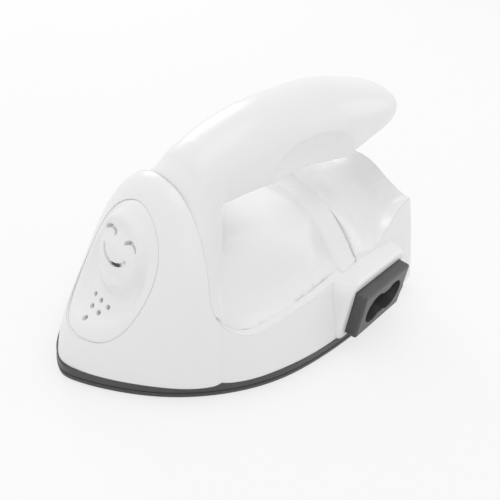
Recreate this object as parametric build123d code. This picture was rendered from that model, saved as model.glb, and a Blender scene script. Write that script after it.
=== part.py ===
from build123d import *
import math
import os

# A mini heat press. X runs from the nose (minus) to the tail (plus), the mains
# inlet is on the minus Y side, and Z = 0 is the ironing face.

# Overall sizes, in millimetres
LENGTH = 100.0          # nose tip to tail
HALF_WIDTH = 31.0       # centre line to the widest point of the base
HOUSING_HEIGHT = 44.4   # top of the nose arch above the ironing face
HEIGHT = 58.0           # top of the handle above the ironing face
HINGE_DROP = 8.0        # the nose sections fan out from a line this far below the face
HINGE_RADIUS = 8.0      # where the fanned sections begin, from that line

# Clearances
SEAM = 0.25             # open seam between two mouldings
FIT = 0.15              # play of a piece in its opening
OVERRUN = 5.0           # how far a cutter runs past what it cuts

# Angles in degrees
RIGHT_ANGLE = 90.0
HALF_TURN = 180.0

# Walls of the mouldings
WALL = 2.2
LIP_DEPTH = 2.4         # how far the saddle's lip dips inside the housing wall
LIP_WALL = 1.6

# Stack of the base
PLATE_THICKNESS = 1.55
PLATE_EDGE = 0.8        # rounding of the ironing face's edge
PLATE_CHAMFER = 0.15
EDGE_STEPS = 3
RING_THICKNESS = 2.3
RING_CHAMFER = 0.25
RING_WIDTH = 6.0        # flat rim of the ring
RING_INSET = 0.12       # the ring stands back from the plate's edge
BASE_TOP = PLATE_THICKNESS + RING_THICKNESS
UPSTAND_HEIGHT = 3.0    # collar of the ring inside the housing wall
UPSTAND_WALL = 1.4

# Raised table of the plate, inside the ring
TABLE_INSET = 6.5       # from the outline to the table's edge
TABLE_RISE = 0.35       # how far it stands above the ring's rim
TABLE_TOP = BASE_TOP + TABLE_RISE
UPSTAND_INSET = 3.9
TAB_THICKNESS = 1.6
TAB_WIDTH = 7.0
TAB_FRONT = 28.0        # stations of the ring's tabs, from the nose tip
TAB_REAR = 89.3
TAB_FRONT_REACH = 17.0  # screw to centre line
TAB_REAR_REACH = 17.0
REAR_LUG_REACH = 10.5   # lugs of the ring that take the rear screws
REAR_LUG_WIDTH = 7.0
REAR_LUG_DEPTH = 5.0
REAR_LUG_HEIGHT = 8.0
REAR_SCREW_RISE = 4.2   # axis of the rear screws above the base stack
REAR_LUG_FACE = 95.1    # rear face of those lugs, from the nose tip
REAR_SEAT = 97.9        # seat of the rear screws' heads
REAR_BORE = 20.0        # how far their holes run in from the tail

# One self-tapping screw serves throughout
SCREW_DIAMETER = 2.4
HEAD_DIAMETER = 4.4
HEAD_HEIGHT = 1.6
HEAD_ROUNDING = 0.5
SCREW_PLAY = 0.25       # radial play of the shank in a through hole
SCREW_BITE = 2.6        # depth of the shank in what it holds

# Heater and its clamp
HEATER_LENGTH = 42.0
HEATER_WIDTH = 14.0
HEATER_THICKNESS = 3.6
HEATER_STATION = 55.0   # its middle, from the nose tip
HEATER_EDGE = 0.6
SHEET_THICKNESS = 0.4
SHEET_MARGIN = 1.0
CLAMP_THICKNESS = 0.8
CLAMP_WIDTH = 10.0
CLAMP_FOOT = 7.0
CLAMP_PLAY = 1.2        # leg to the heater's end

# Thermostat
THERMOSTAT_STATION = 17.0
THERMOSTAT_DIAMETER = 11.0
THERMOSTAT_FLANGE = 1.6
THERMOSTAT_CAP_DIAMETER = 8.0
THERMOSTAT_CAP_HEIGHT = 4.4
BLADE_LENGTH = 5.0
BLADE_WIDTH = 3.0
BLADE_THICKNESS = 0.6
BRACKET_THICKNESS = 0.8
BRACKET_WIDTH = 6.0
BRACKET_REACH = 9.0     # screw to the thermostat's axis

# Thermal fuse
FUSE_DIAMETER = 4.0
FUSE_LENGTH = 11.0
FUSE_STATION = 55.0
FUSE_REACH = 13.4       # centre line to the fuse
FUSE_PIN_DIAMETER = 1.0
FUSE_PIN_LENGTH = 4.0
CLIP_WIDTH = 5.0
CLIP_THICKNESS = 0.5
CLIP_OPENING = 1.25     # the clip opens this far above the fuse's axis

# Heat shield and its posts
POST_DIAMETER = 5.0
POST_HEIGHT = 9.0
POST_FRONT = 38.0
POST_FRONT_REACH = 15.0
POST_REAR = 90.0
SHIELD_THICKNESS = 0.6
SHIELD_INSET = 12.0
SHIELD_NOSE = 30.0      # the shield begins here, behind the thermostat
SHIELD_HOLE = 4.0       # passages of the heater wires
HEATER_WIRE_STATION = 50.0
HEATER_WIRE_REACH = 9.6

# Mains inlet, a figure-of-eight socket
INLET_LENGTH = 21.6
INLET_HEIGHT = 13.1
INLET_BOTTOM = 5.0
INLET_FRONT = 61.5      # nearest edge of its face, from the nose tip
INLET_REACH = 34.0      # centre line to that edge
INLET_TURN = 8.3        # the face looks towards the tail by this many degrees
INLET_PROUD = 3.1       # face to its surround
INLET_DEPTH = 14.5
INLET_EDGE = 0.7
RECESS_LENGTH = 16.4
RECESS_WIDTH = 8.4
RECESS_DEPTH = 11.0
RECESS_NOTCH = 0.9      # waist of the figure of eight, each side
PIN_SPACING = 8.6
PIN_DIAMETER = 2.4
PIN_LENGTH = 8.8
PIN_TIP = 0.6
PIN_TAIL = 3.4
PIN_TAIL_DIAMETER = 2.0 # where it sits in the inlet, and its solder tail
PIN_SHOULDER = 0.2      # its full diameter starts this far above the recess's floor
SURROUND_MARGIN = 2.5
SURROUND_CORNER = 3.4
SURROUND_EDGE = 1.5     # rounding of its rim
SURROUND_TAPER = 14.0
STRAP_THICKNESS = 1.0
STRAP_WIDTH = 7.0
STRAP_EAR = 5.5

# Saddle screws
SADDLE_BOSS_DIAMETER = 5.6
SADDLE_BOSS_DROP = 4.0  # boss end below the seat
SADDLE_STATIONS = (38.5, 50.0)
SADDLE_BOSS_REACH = 23.2
SADDLE_LUG_MARGIN = 1.0 # lug of the housing round a boss
LUG_THICKNESS = 2.4

# Handle cover
COVER_FRONT = 46.0
COVER_REAR = 86.0
COVER_WIDTH = 12.0
COVER_END_SHARE = 0.45  # rounding of its ends, of its width
COVER_THICKNESS = 1.8
COVER_BOSS = 6.6
COVER_BOSS_RISE = 3.4
COVER_SCREWS = (52.0, 79.0)

# Finger recess in each side of the handle
FINGER_STATION = 61.5
FINGER_HEIGHT = 42.8
FINGER_LENGTH = 23.5    # half length of the cutter
FINGER_RADIUS = 14.0
FINGER_DEPTH = 2.9

# Nose panel
PANEL_STATION = 11.0    # middle of the oval on the centre plane
PANEL_HEIGHT = 25.4
PANEL_SLOPE = 61.3
PANEL_LENGTH = 16.0     # half lengths of the oval
PANEL_WIDTH = 11.4
PANEL_THICKNESS = 2.0
PANEL_REACH = 9.5       # how far the oval's prism runs each way
FLANGE_WIDTH = 1.6
# Half outline of the oval, top to bottom: shares of (PANEL_WIDTH, PANEL_LENGTH)
OVAL_SHARES = ((0, 1), (0.38, 0.925), (0.72, 0.72), (0.93, 0.42), (1, 0.08), (0.97, -0.3), (0.86, -0.64),
               (0.64, -0.87), (0.34, -0.975), (0, -1))
# Depth of the hollow at each nose arch, as a share of SINK
SINK_SHARES = (0, 0, 0.2, 1.0, 1.0, 0.5, 0.15)
SINK = 1.5              # how far the panel's middle lies below the nose's curve
BULGE = (9.6, 12.2, 4.2)
BULGE_RISE = 4.5        # middle of the bulge above the middle of the oval
BULGE_SINK = 5.5
BULGE_TILT = 10.0
VENT_DIAMETER = 1.15
VENT_PITCH = 2.68
VENT_ROW = 2.35
VENT_ROWS = 3
VENT_START = -7.9       # first row of vents, from the middle of the oval
SMILE_WIDTH = 0.8
EYE_RISE = 8.2
EYE_REACH = 3.8
EYE_HALF = 2.1
EYE_BOW = 1.3
MOUTH_RISE = 1.7
MOUTH_HALF = 4.4
MOUTH_BOW = 2.6

# Lamp unit behind the panel
GUIDE_LENGTH = 12.5
GUIDE_RISE = 4.75       # its middle above the middle of the oval
GUIDE_WIDTH = 12.0
GUIDE_THICKNESS = 2.0
GUIDE_DEPTH = 4.2       # its face behind the oval's middle plane
BOARD_THICKNESS = 1.0
LAMP_DIAMETER = 3.0
LAMP_HEIGHT = 2.2
LAMP_ROUNDING = 1.0
LAMP_STAGGER_SHARE = 0.5    # the middle lamp sits below the others, as a share of their spacing
LAMP_SPACING = 4.5
LAMP_BOSS = 4.4
LAMP_SCREW_RISE = 2.0   # its two screws above the middle of the oval, one each side

# Control board
CONTROL_STATION = 48.0
CONTROL_LENGTH = 24.0
CONTROL_WIDTH = 25.0
CONTROL_HEIGHT = 20.0
CONTROL_BOSS_DIAMETER = 5.0
CONTROL_BOSS_REACH = 9.0
CAPACITOR = (12.0, 5.0, 6.5)
TRIAC = (9.0, 8.0, 3.0)

# Wiring: routes as distances from the nose tip, from the centre plane towards the inlet, and height
LIVE_ROUTE = ((64.9, 12.8, 11.55), (64.9, 12.8, 16.6), (56.0, 8.0, 16.6), (56.0, 8.0, 19.9))
NEUTRAL_ROUTE = ((73.5, 11.6, 11.55), (73.5, 11.6, 16.6), (56.0, 3.5, 16.6), (56.0, 3.5, 19.9))
STAT_FUSE_ROUTE = ((18.6, 7.2, 9.6), (24.0, 10.0, 9.6), (40.0, 10.0, 9.6), (45.4, 13.4, 6.7))
STAT_BOARD_ROUTE = ((18.6, -7.2, 9.6), (26.5, -10.2, 9.6), (26.5, -10.2, 16.8), (39.0, -10.2, 16.8),
                    (39.0, -10.2, 19.9))
FUSE_BOARD_ROUTE = ((64.6, 13.4, 6.7), (69.2, 13.4, 6.7), (69.2, 13.4, 20.5), (66.0, 6.0, 20.5),
                    (60.1, 6.0, 20.5))
LAMP_ROUTE = ((20.8, 2.0, 23.5), (23.4, 2.0, 22.1), (28.0, 2.0, 20.5), (35.9, 2.0, 20.5))
WIRE_DIAMETER = 1.4
LAMP_WIRE_DIAMETER = 1.0
BEND = 2.2
SLEEVE_DIAMETER = 2.6
CONTACT = 0.1           # bare end to its terminal

# Seams between nose, saddle and tail
NOSE_SEAM = 23.7        # at the foot of the seat
SEAM_LEAN = 5.0         # how far the nose seam leans back over the height of the handle
TAIL_SEAM = 66.3
NOTCH_RADIUS = 9.0      # corner of the saddle's seat below the nose arch
NOTCH_LOW = 13.0        # lowest point of the seat
NOTCH_RISE = 8.7        # how far it climbs to the tail seam
STEP_STATION = 61.0     # where the collar stands up behind the dome

# Rear face
TAIL_LEAN = 8.7         # how far the rear face leans forward over the housing's height
TAIL_NARROWING_SHARE = 0.66

# Nose arches: shares of (LENGTH, HOUSING_HEIGHT, HALF_WIDTH), fullness, share of the round part
FAN_SHARES = (
    (-0.006, -0.023, 0.719, 1.6, 1.0),
    (0.005, 0.092, 0.735, 1.6, 1.0),
    (0.025, 0.225, 0.761, 1.7, 0.95),
    (0.07, 0.383, 0.8, 1.9, 0.88),
    (0.12, 0.55, 0.826, 2.1, 0.8),
    (0.163, 0.705, 0.839, 2.25, 0.72),
    (0.202, 0.848, 0.845, 2.35, 0.69),
)
# Body arches, written the same way
BODY_SHARES = (
    (0.26, 0.963, 0.845, 2.4, 0.675),
    (0.36, 1.0, 0.974, 2.9, 0.9),
    (0.48, 1.0, 1.019, 3.3, 1.0),
    (0.6, 1.0, 1.003, 3.5, 1.0),
    (0.72, 1.0, 0.952, 3.7, 1.0),
    (0.84, 1.0, 0.9, 3.8, 1.0),
    (0.96, 1.0, 0.826, 3.8, 1.0),
    (1.04, 1.0, 0.758, 3.8, 1.0),
)
SHOULDER_POWER_SHARE = 8.0    # how squarely the walls turn down
# Where each arch has its points, as shares of its half width
ARCH_SHARES = (1.0, 0.94, 0.84, 0.7, 0.54, 0.36, 0.18, 0.0)
# Outline of the base, nose to tail: shares of (LENGTH, HALF_WIDTH)
BASE_SHARES = (
    (0.0, 0.0),
    (0.015, 0.15),
    (0.06, 0.345),
    (0.14, 0.6),
    (0.26, 0.839),
    (0.4, 0.977),
    (0.52, 1.0),
    (0.64, 0.98),
    (0.76, 0.935),
    (0.87, 0.877),
    (0.935, 0.825),
    (0.97, 0.755),
    (0.988, 0.64),
    (0.997, 0.4),
    (1.0, 0.0),
)
# Cut of the rear face in plan, outside corner first: shares of (LENGTH, HALF_WIDTH)
REAR_SHARES = ((0.7, 1.5), (0.93, 1.0), (0.977, 0.86), (0.994, 0.68), (1.0, 0.4), (1.002, 0.0))
# Tops of the saddle's deck, its collar and the tail: station as a share of LENGTH,
# then shares of (HALF_WIDTH, HOUSING_HEIGHT) from the middle to the side
DECK_SHARES = (
    (0.24, ((0, 0.676), (0.258, 0.664), (0.387, 0.642), (0.484, 0.586),
            (0.597, 0.495), (0.71, 0.405), (1.032, 0.27))),
    (0.28, ((0, 0.608), (0.258, 0.586), (0.435, 0.507), (0.581, 0.417),
            (0.694, 0.36), (0.806, 0.329), (1.032, 0.32))),
    (0.34, ((0, 0.653), (0.258, 0.631), (0.452, 0.541), (0.581, 0.428),
            (0.694, 0.365), (0.839, 0.345), (1.032, 0.342))),
    (0.4, ((0, 0.709), (0.258, 0.694), (0.452, 0.631), (0.568, 0.507),
           (0.677, 0.405), (0.865, 0.372), (1.032, 0.369))),
    (0.48, ((0, 0.739), (0.258, 0.721), (0.452, 0.664), (0.581, 0.552),
            (0.684, 0.441), (0.871, 0.408), (1.032, 0.405))),
    (0.56, ((0, 0.727), (0.258, 0.709), (0.452, 0.649), (0.581, 0.541),
            (0.694, 0.464), (0.865, 0.444), (1.032, 0.441))),
    (0.64, ((0, 0.674), (0.258, 0.654), (0.419, 0.594), (0.548, 0.522),
            (0.677, 0.485), (0.852, 0.48), (1.032, 0.477))),
)
COLLAR_SHARES = (
    (0.608, ((0, 0.734), (0.29, 0.707), (0.532, 0.622), (0.677, 0.532),
             (0.79, 0.482), (0.871, 0.465), (1.032, 0.463))),
    (0.67, ((0, 0.766), (0.297, 0.741), (0.565, 0.653), (0.71, 0.574),
            (0.813, 0.509), (0.903, 0.493), (1.032, 0.489))),
)
TAIL_SHARES = (
    (0.65, ((0, 0.766), (0.297, 0.741), (0.565, 0.653), (0.71, 0.574), (0.819, 0.49), (1.032, 0.455))),
    (0.74, ((0, 0.703), (0.29, 0.671), (0.516, 0.595), (0.645, 0.55), (0.765, 0.508), (1.032, 0.485))),
    (0.84, ((0, 0.658), (0.258, 0.626), (0.452, 0.568), (0.581, 0.568), (0.694, 0.62), (1.032, 0.7))),
    (0.9, ((0, 0.685), (0.194, 0.653), (0.355, 0.606), (0.516, 0.599), (0.645, 0.662), (1.032, 0.77))),
    (0.95, ((0, 0.784), (0.174, 0.764), (0.316, 0.707), (0.439, 0.673), (0.603, 0.658), (1.032, 0.644))),
    (1.02, ((0, 0.923), (0.161, 0.901), (0.29, 0.833), (0.419, 0.777), (0.603, 0.743), (1.032, 0.698))),
)
# Neck: station as a share of LENGTH, then shares of (HALF_WIDTH, HOUSING_HEIGHT)
NECK_SHARES = (
    (0.25, ((0, 0.95), (0.161, 0.932), (0.323, 0.874), (0.465, 0.755),
            (0.568, 0.622), (0.658, 0.45), (0.79, 0.113))),
    (0.28, ((0, 1.0), (0.145, 0.978), (0.277, 0.906), (0.387, 0.778),
            (0.471, 0.622), (0.561, 0.484), (0.71, 0.349))),
    (0.31, ((0, 1.06), (0.145, 1.037), (0.265, 0.96), (0.342, 0.823),
            (0.394, 0.653), (0.471, 0.507), (0.613, 0.372))),
    (0.345, ((0, 1.115), (0.145, 1.095), (0.265, 1.02), (0.323, 0.88),
             (0.352, 0.709), (0.4, 0.541), (0.516, 0.405))),
)
# Handle: shares of LENGTH, of HEIGHT for its top and underside, of HALF_WIDTH
HANDLE_SHARES = (
    (0.3, 0.8, 0.62, 0.28),
    (0.35, 0.856, 0.655, 0.3),
    (0.41, 0.905, 0.682, 0.319),
    (0.48, 0.949, 0.695, 0.332),
    (0.57, 0.982, 0.699, 0.34),
    (0.66, 1.0, 0.702, 0.34),
    (0.78, 0.988, 0.738, 0.328),
    (0.86, 0.965, 0.78, 0.3),
    (0.915, 0.94, 0.8, 0.258),
    (0.96, 0.9, 0.82, 0.18),
    (0.985, 0.862, 0.835, 0.075),
)
# Half section of the handle: shares of its half width and of its depth
GRIP_SHARES = ((0.93, 0.0), (1.0, 0.2), (0.99, 0.42), (0.89, 0.67), (0.67, 0.86), (0.36, 0.965), (0.0, 1.0))


def station(share):
    return share * LENGTH - LENGTH / 2


def mirrored(half):
    return [(-w, u) for w, u in half[::-1] if w] + list(half)


def section(x, half):
    """Closed section at x: a curve over the top and a straight underside."""
    points = [(x, y, z) for y, z in mirrored(half)]
    return Wire([Spline(*points).edge(), Line(points[-1], points[0]).edge()])


def skin(wires):
    return Part() + Solid.make_loft(wires)


def hinge():
    return station(BODY_SHARES[0][0]), -HINGE_DROP


def arch_height(a, fullness, round_share):
    """Height over the foot of an arch, as a share of its rise."""
    a = abs(a)
    return 1 - round_share * a ** fullness - (1 - round_share) * a ** SHOULDER_POWER_SHARE


def fan_section(row, inset):
    """An arch that stands on the hinge line and leans forward to the nose."""
    along, up, across, fullness, round_share = row
    x0, z0 = hinge()
    dx, dz = station(along) - x0, up * HOUSING_HEIGHT - z0
    reach = math.hypot(dx, dz)
    half = across * HALF_WIDTH - inset
    points = []
    for a in [-s for s in ARCH_SHARES] + list(ARCH_SHARES[-2::-1]):
        r = HINGE_RADIUS + (reach - inset - HINGE_RADIUS) * arch_height(a, fullness, round_share)
        points.append((x0 + dx / reach * r, a * half, z0 + dz / reach * r))
    return Wire([Spline(*points).edge(), Line(points[-1], points[0]).edge()])


def body_section(row, inset):
    along, up, across, fullness, round_share = row
    half = across * HALF_WIDTH - inset
    top = up * HOUSING_HEIGHT - inset
    return section(station(along), [(a * half, top * arch_height(a, fullness, round_share))
                                    for a in ARCH_SHARES[::-1]])


def hull(inset=0.0):
    """The housing's outer form, or its cavity when it is set in by a wall."""
    nose = [fan_section(row, inset) for row in FAN_SHARES] + [body_section(BODY_SHARES[0], inset)]
    body = [body_section(row, inset) for row in BODY_SHARES]
    return skin(nose) + skin(body)


def lid(table, drop=0.0):
    """Everything below a moulded top surface."""
    wires = []
    for along, half in table:
        points = [(w * HALF_WIDTH, u * HOUSING_HEIGHT - drop) for w, u in half]
        top = [(station(along), y, z) for y, z in mirrored(points)]
        low = [(top[-1][0], top[-1][1], -OVERRUN), (top[0][0], top[0][1], -OVERRUN)]
        wires.append(Wire([Spline(*top).edge(), Line(top[-1], low[0]).edge(), Line(*low).edge(),
                           Line(low[1], top[0]).edge()]))
    return skin(wires)


def block(x0, x1, z0, z1):
    """A box across the whole width."""
    return Pos((x0 + x1) / 2, 0, (z0 + z1) / 2) * Box(x1 - x0, 2 * LENGTH, z1 - z0)


def above(z):
    return block(-LENGTH, LENGTH, z, z + 2 * HEIGHT)


def outline_wire(inset=0.0, z=0.0):
    """Plan of the base, drawn in by `inset`."""
    shrink = 1 - 2 * inset / LENGTH
    half = [(station(x) * shrink, w * (HALF_WIDTH - inset), z) for x, w in BASE_SHARES]
    other = [(x, -y, z) for x, y, z in half[-2:0:-1]]
    return Wire([Spline(*half, *other, periodic=True).edge()])


def outline(inset=0.0):
    return make_face(outline_wire(inset))


def stack(levels):
    """A slab of the base's plan through (inset, height) levels."""
    return Part() + Solid.make_loft([outline_wire(inset, z) for inset, z in levels], True)


def rear_plan(z, lean, narrowing, inset):
    half = [(station(x) - lean - inset, (w * HALF_WIDTH - inset) * narrowing) for x, w in REAR_SHARES]
    half[-1] = (half[-1][0], 0)
    points = half + [(x, -y) for x, y in half[-2::-1]]
    curve = Spline(*[(x, y, z) for x, y in points]).edge()
    ends = [(x, y, z) for x, y in (points[-1], points[0])]
    front = [(-LENGTH, ends[0][1], z), (-LENGTH, ends[1][1], z)]
    return Wire([curve, Line(ends[0], front[0]).edge(), Line(*front).edge(), Line(front[1], ends[1]).edge()])


def rear_trim(inset=0.0):
    """Everything in front of the leaning rear face."""
    return Part() + Solid.make_loft([rear_plan(0, 0, 1, inset),
                                     rear_plan(HOUSING_HEIGHT, TAIL_LEAN, TAIL_NARROWING_SHARE, inset)], True)


def seat_zone(gap=0.0, dip=0.0):
    """The room above the housing's wall between the nose arch and the tail."""
    x0, x1 = NOSE_SEAM - LENGTH / 2 + gap, TAIL_SEAM - LENGTH / 2 - gap
    low, high = NOTCH_LOW + gap - dip, NOTCH_LOW + NOTCH_RISE + gap - dip
    top = HEIGHT + OVERRUN
    lean = SEAM_LEAN * (top - low) / HEIGHT
    points = [(x0 + lean, top), (x0, low), (x1, high), (x1, top)]
    profile = make_face(Polyline(*points, close=True))
    corner = profile.vertices().sort_by(Axis.Y)[0]
    return extrude(Plane.XZ * fillet(corner, NOTCH_RADIUS), 2 * HALF_WIDTH, both=True)


def at(along, across, up):
    """A place by its distance from the nose tip, from the centre plane towards the inlet, and height."""
    return Pos(along - LENGTH / 2, -across, up)


def pin(diameter, z0, z1):
    return Pos(0, 0, (z0 + z1) / 2) * Cylinder(diameter / 2, z1 - z0)


def slab(length, width, z0, z1, rounding=0.0):
    """A flat piece, with its upright edges rounded."""
    plan = RectangleRounded(length, width, rounding) if rounding else Rectangle(length, width)
    return Pos(0, 0, z0) * extrude(plan, z1 - z0)


def screw(length):
    """Pan head above the origin, shank below it."""
    head = pin(HEAD_DIAMETER, 0, HEAD_HEIGHT)
    head = fillet(head.edges().sort_by(Axis.Z)[-1], HEAD_ROUNDING)
    return head + pin(SCREW_DIAMETER, -length, 0)


def screw_hole(length):
    return pin(SCREW_DIAMETER + 2 * SCREW_PLAY, -length, OVERRUN)


def pilot(length):
    return pin(SCREW_DIAMETER, -length, OVERRUN)


def ring_tabs():
    corners = [(TAB_FRONT, TAB_FRONT_REACH), (TAB_REAR, TAB_REAR_REACH)]
    return [(along, side * across) for along, across in corners for side in (1, -1)]


def posts():
    return [(POST_FRONT, POST_FRONT_REACH), (POST_FRONT, -POST_FRONT_REACH), (POST_REAR, 0)]


def rear_axis(along, side):
    """Axis of a rear screw, towards the tail."""
    return at(along, side * REAR_LUG_REACH, BASE_TOP + REAR_SCREW_RISE) * Rot(0, RIGHT_ANGLE, 0)


def clamp_feet():
    reach = HEATER_LENGTH / 2 + CLAMP_PLAY + CLAMP_THICKNESS + CLAMP_FOOT / 2
    return [HEATER_STATION - reach, HEATER_STATION + reach]


def sole_plate():
    """Cast plate with a raised table that the hot pieces lie on."""
    turns = [math.pi / 2 * k / EDGE_STEPS for k in range(EDGE_STEPS + 1)]
    levels = [(PLATE_EDGE * (1 - math.sin(a)), PLATE_EDGE * (1 - math.cos(a))) for a in turns]
    plate = stack(levels + [(0, PLATE_THICKNESS - PLATE_CHAMFER), (PLATE_CHAMFER, PLATE_THICKNESS)])
    plate += extrude(outline(TABLE_INSET), TABLE_TOP)
    for along, across in posts():
        plate += at(along, across, 0) * pin(POST_DIAMETER, PLATE_THICKNESS, TABLE_TOP + POST_HEIGHT)
        plate -= at(along, across, TABLE_TOP + POST_HEIGHT) * pilot(SCREW_BITE)
    for along, across in ring_tabs() + [(foot, 0) for foot in clamp_feet()]:
        plate -= at(along, across, TABLE_TOP) * pilot(SCREW_BITE)
    for side in (1, -1):
        plate -= at(THERMOSTAT_STATION, side * BRACKET_REACH, TABLE_TOP) * pilot(SCREW_BITE)
    return plate


def insulation_ring():
    """Rim between plate and housing, with a collar and tabs that are screwed to the table."""
    rim = stack([(RING_INSET + RING_CHAMFER, PLATE_THICKNESS), (RING_INSET, PLATE_THICKNESS + RING_CHAMFER),
                 (RING_INSET, BASE_TOP)])
    foot = BASE_TOP - RING_THICKNESS / 2
    wall = outline(UPSTAND_INSET) - outline(UPSTAND_INSET + UPSTAND_WALL)
    collar = extrude(wall, BASE_TOP + UPSTAND_HEIGHT - foot)
    ring = rim - extrude(outline(RING_WIDTH), HEIGHT) + Pos(0, 0, foot) * collar
    low, high = TABLE_TOP, TABLE_TOP + TAB_THICKNESS
    inside = Pos(0, 0, low) * extrude(outline(UPSTAND_INSET + UPSTAND_WALL / 2), TAB_THICKNESS)
    for along, across in ring_tabs():
        outward = across + math.copysign(HALF_WIDTH / 2, across)
        tab = at(along, outward, 0) * slab(TAB_WIDTH, HALF_WIDTH, low, high)
        tab += at(along, across, 0) * pin(TAB_WIDTH, low, high)
        ring += tab & inside
        ring -= at(along, across, high) * screw_hole(TAB_THICKNESS + OVERRUN)
    for side in (1, -1):
        lug = slab(REAR_LUG_DEPTH, REAR_LUG_WIDTH, BASE_TOP, BASE_TOP + REAR_LUG_HEIGHT)
        ring += at(REAR_LUG_FACE - REAR_LUG_DEPTH / 2, side * REAR_LUG_REACH, 0) * lug
        ring -= rear_axis(LENGTH, side) * pin(SCREW_DIAMETER, -REAR_BORE, 0)
    return ring - extrude(outline(RING_WIDTH), TABLE_TOP) - (inlet_room() & above(BASE_TOP))


def ring_screws():
    return Compound([at(along, across, TABLE_TOP + TAB_THICKNESS) * screw(TAB_THICKNESS + SCREW_BITE)
                     for along, across in ring_tabs()])


def heater():
    block = slab(HEATER_LENGTH, HEATER_WIDTH, 0, HEATER_THICKNESS, HEATER_EDGE)
    return at(HEATER_STATION, 0, TABLE_TOP) * block


def heater_insulation():
    sheet = slab(HEATER_LENGTH, HEATER_WIDTH + SHEET_MARGIN, 0, SHEET_THICKNESS, HEATER_EDGE)
    return at(HEATER_STATION, 0, TABLE_TOP + HEATER_THICKNESS) * sheet


def heater_clamp():
    """Bridge of sheet metal with a foot at each end."""
    top = TABLE_TOP + HEATER_THICKNESS + SHEET_THICKNESS + CLAMP_THICKNESS
    leg = HEATER_LENGTH / 2 + CLAMP_PLAY
    foot = leg + CLAMP_THICKNESS + CLAMP_FOOT
    low = TABLE_TOP
    t = CLAMP_THICKNESS
    half = [(foot, low), (foot, low + t), (leg + t, low + t), (leg + t, top)]
    inner = [(leg, top - t), (leg, low)]
    points = half + [(-x, z) for x, z in half[::-1]] + [(-x, z) for x, z in inner[::-1]] + inner
    profile = make_face(Polyline(*points, close=True))
    clamp = at(HEATER_STATION, 0, 0) * extrude(Plane.XZ * profile, CLAMP_WIDTH / 2, both=True)
    for x in clamp_feet():
        clamp -= at(x, 0, TABLE_TOP + CLAMP_THICKNESS) * screw_hole(CLAMP_THICKNESS + OVERRUN)
    return clamp


def clamp_screws():
    return Compound([at(x, 0, TABLE_TOP + CLAMP_THICKNESS) * screw(CLAMP_THICKNESS + SCREW_BITE)
                     for x in clamp_feet()])


def thermostat():
    """Disc thermostat with two flat terminals."""
    low = TABLE_TOP
    body = pin(THERMOSTAT_DIAMETER, low, low + THERMOSTAT_FLANGE)
    top = low + THERMOSTAT_FLANGE + THERMOSTAT_CAP_HEIGHT
    body += pin(THERMOSTAT_CAP_DIAMETER, low, top)
    reach = THERMOSTAT_CAP_DIAMETER / 2
    for side in (1, -1):
        blade = Box(BLADE_WIDTH, BLADE_LENGTH, BLADE_THICKNESS)
        body += Pos(0, side * (reach + BLADE_LENGTH / 2 - BLADE_THICKNESS), top - BLADE_THICKNESS) * blade
    return at(THERMOSTAT_STATION, 0, 0) * body


def thermostat_bracket():
    """Strap with an eye that presses the thermostat's flange to the table."""
    low = TABLE_TOP + THERMOSTAT_FLANGE
    high = low + BRACKET_THICKNESS
    reach = 2 * BRACKET_REACH
    strap = slab(BRACKET_WIDTH, reach, low, high) + pin(THERMOSTAT_DIAMETER, low, high)
    for side in (1, -1):
        strap += Pos(0, side * BRACKET_REACH, 0) * pin(BRACKET_WIDTH, TABLE_TOP, high)
    strap -= pin(THERMOSTAT_DIAMETER + 2 * FIT, TABLE_TOP - OVERRUN, low)
    strap -= pin(THERMOSTAT_CAP_DIAMETER + 2 * FIT, TABLE_TOP, HEIGHT)
    for side in (1, -1):
        strap -= Pos(0, side * BRACKET_REACH, high) * screw_hole(high)
    return at(THERMOSTAT_STATION, 0, 0) * strap


def thermostat_screws():
    length = THERMOSTAT_FLANGE + BRACKET_THICKNESS + SCREW_BITE
    high = TABLE_TOP + THERMOSTAT_FLANGE + BRACKET_THICKNESS
    return Compound([at(THERMOSTAT_STATION, side * BRACKET_REACH, high) * screw(length) for side in (1, -1)])


def fuse_axis():
    up = TABLE_TOP + CLIP_THICKNESS + FUSE_DIAMETER / 2
    return at(FUSE_STATION, FUSE_REACH, up) * Rot(0, RIGHT_ANGLE, 0)


def thermal_fuse():
    body = pin(FUSE_DIAMETER, -FUSE_LENGTH / 2, FUSE_LENGTH / 2)
    body = chamfer(body.edges(), HEAD_ROUNDING)
    reach = FUSE_LENGTH / 2 + FUSE_PIN_LENGTH
    return fuse_axis() * (body + pin(FUSE_PIN_DIAMETER, -reach, reach))


def fuse_clip():
    """Open saddle clip between the fuse and the table."""
    outer = pin(FUSE_DIAMETER + 2 * CLIP_THICKNESS, -CLIP_WIDTH / 2, CLIP_WIDTH / 2)
    clip = outer - pin(FUSE_DIAMETER, -CLIP_WIDTH, CLIP_WIDTH)
    opening = Pos(-CLIP_OPENING - FUSE_DIAMETER / 2, 0, 0) * Box(FUSE_DIAMETER, FUSE_DIAMETER, 2 * CLIP_WIDTH)
    return fuse_axis() * (clip - opening)


def shield_level():
    return TABLE_TOP + POST_HEIGHT


def heat_shield():
    """Sheet between the hot pieces and the wiring, on the plate's posts."""
    low = shield_level()
    shield = Pos(0, 0, low) * extrude(outline(SHIELD_INSET), SHIELD_THICKNESS)
    shield &= block(SHIELD_NOSE - LENGTH / 2, LENGTH, 0, HEIGHT)
    shield -= inlet_room()
    for along, across in posts():
        shield -= at(along, across, low + SHIELD_THICKNESS) * screw_hole(POST_HEIGHT)
    for side in (1, -1):
        hole = at(HEATER_WIRE_STATION, side * HEATER_WIRE_REACH, 0)
        shield -= hole * pin(SHIELD_HOLE, low - OVERRUN, low + OVERRUN)
    return shield


def shield_screws():
    one = screw(SHIELD_THICKNESS + SCREW_BITE)
    high = shield_level() + SHIELD_THICKNESS
    return Compound([at(along, across, high) * one for along, across in posts()])


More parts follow.
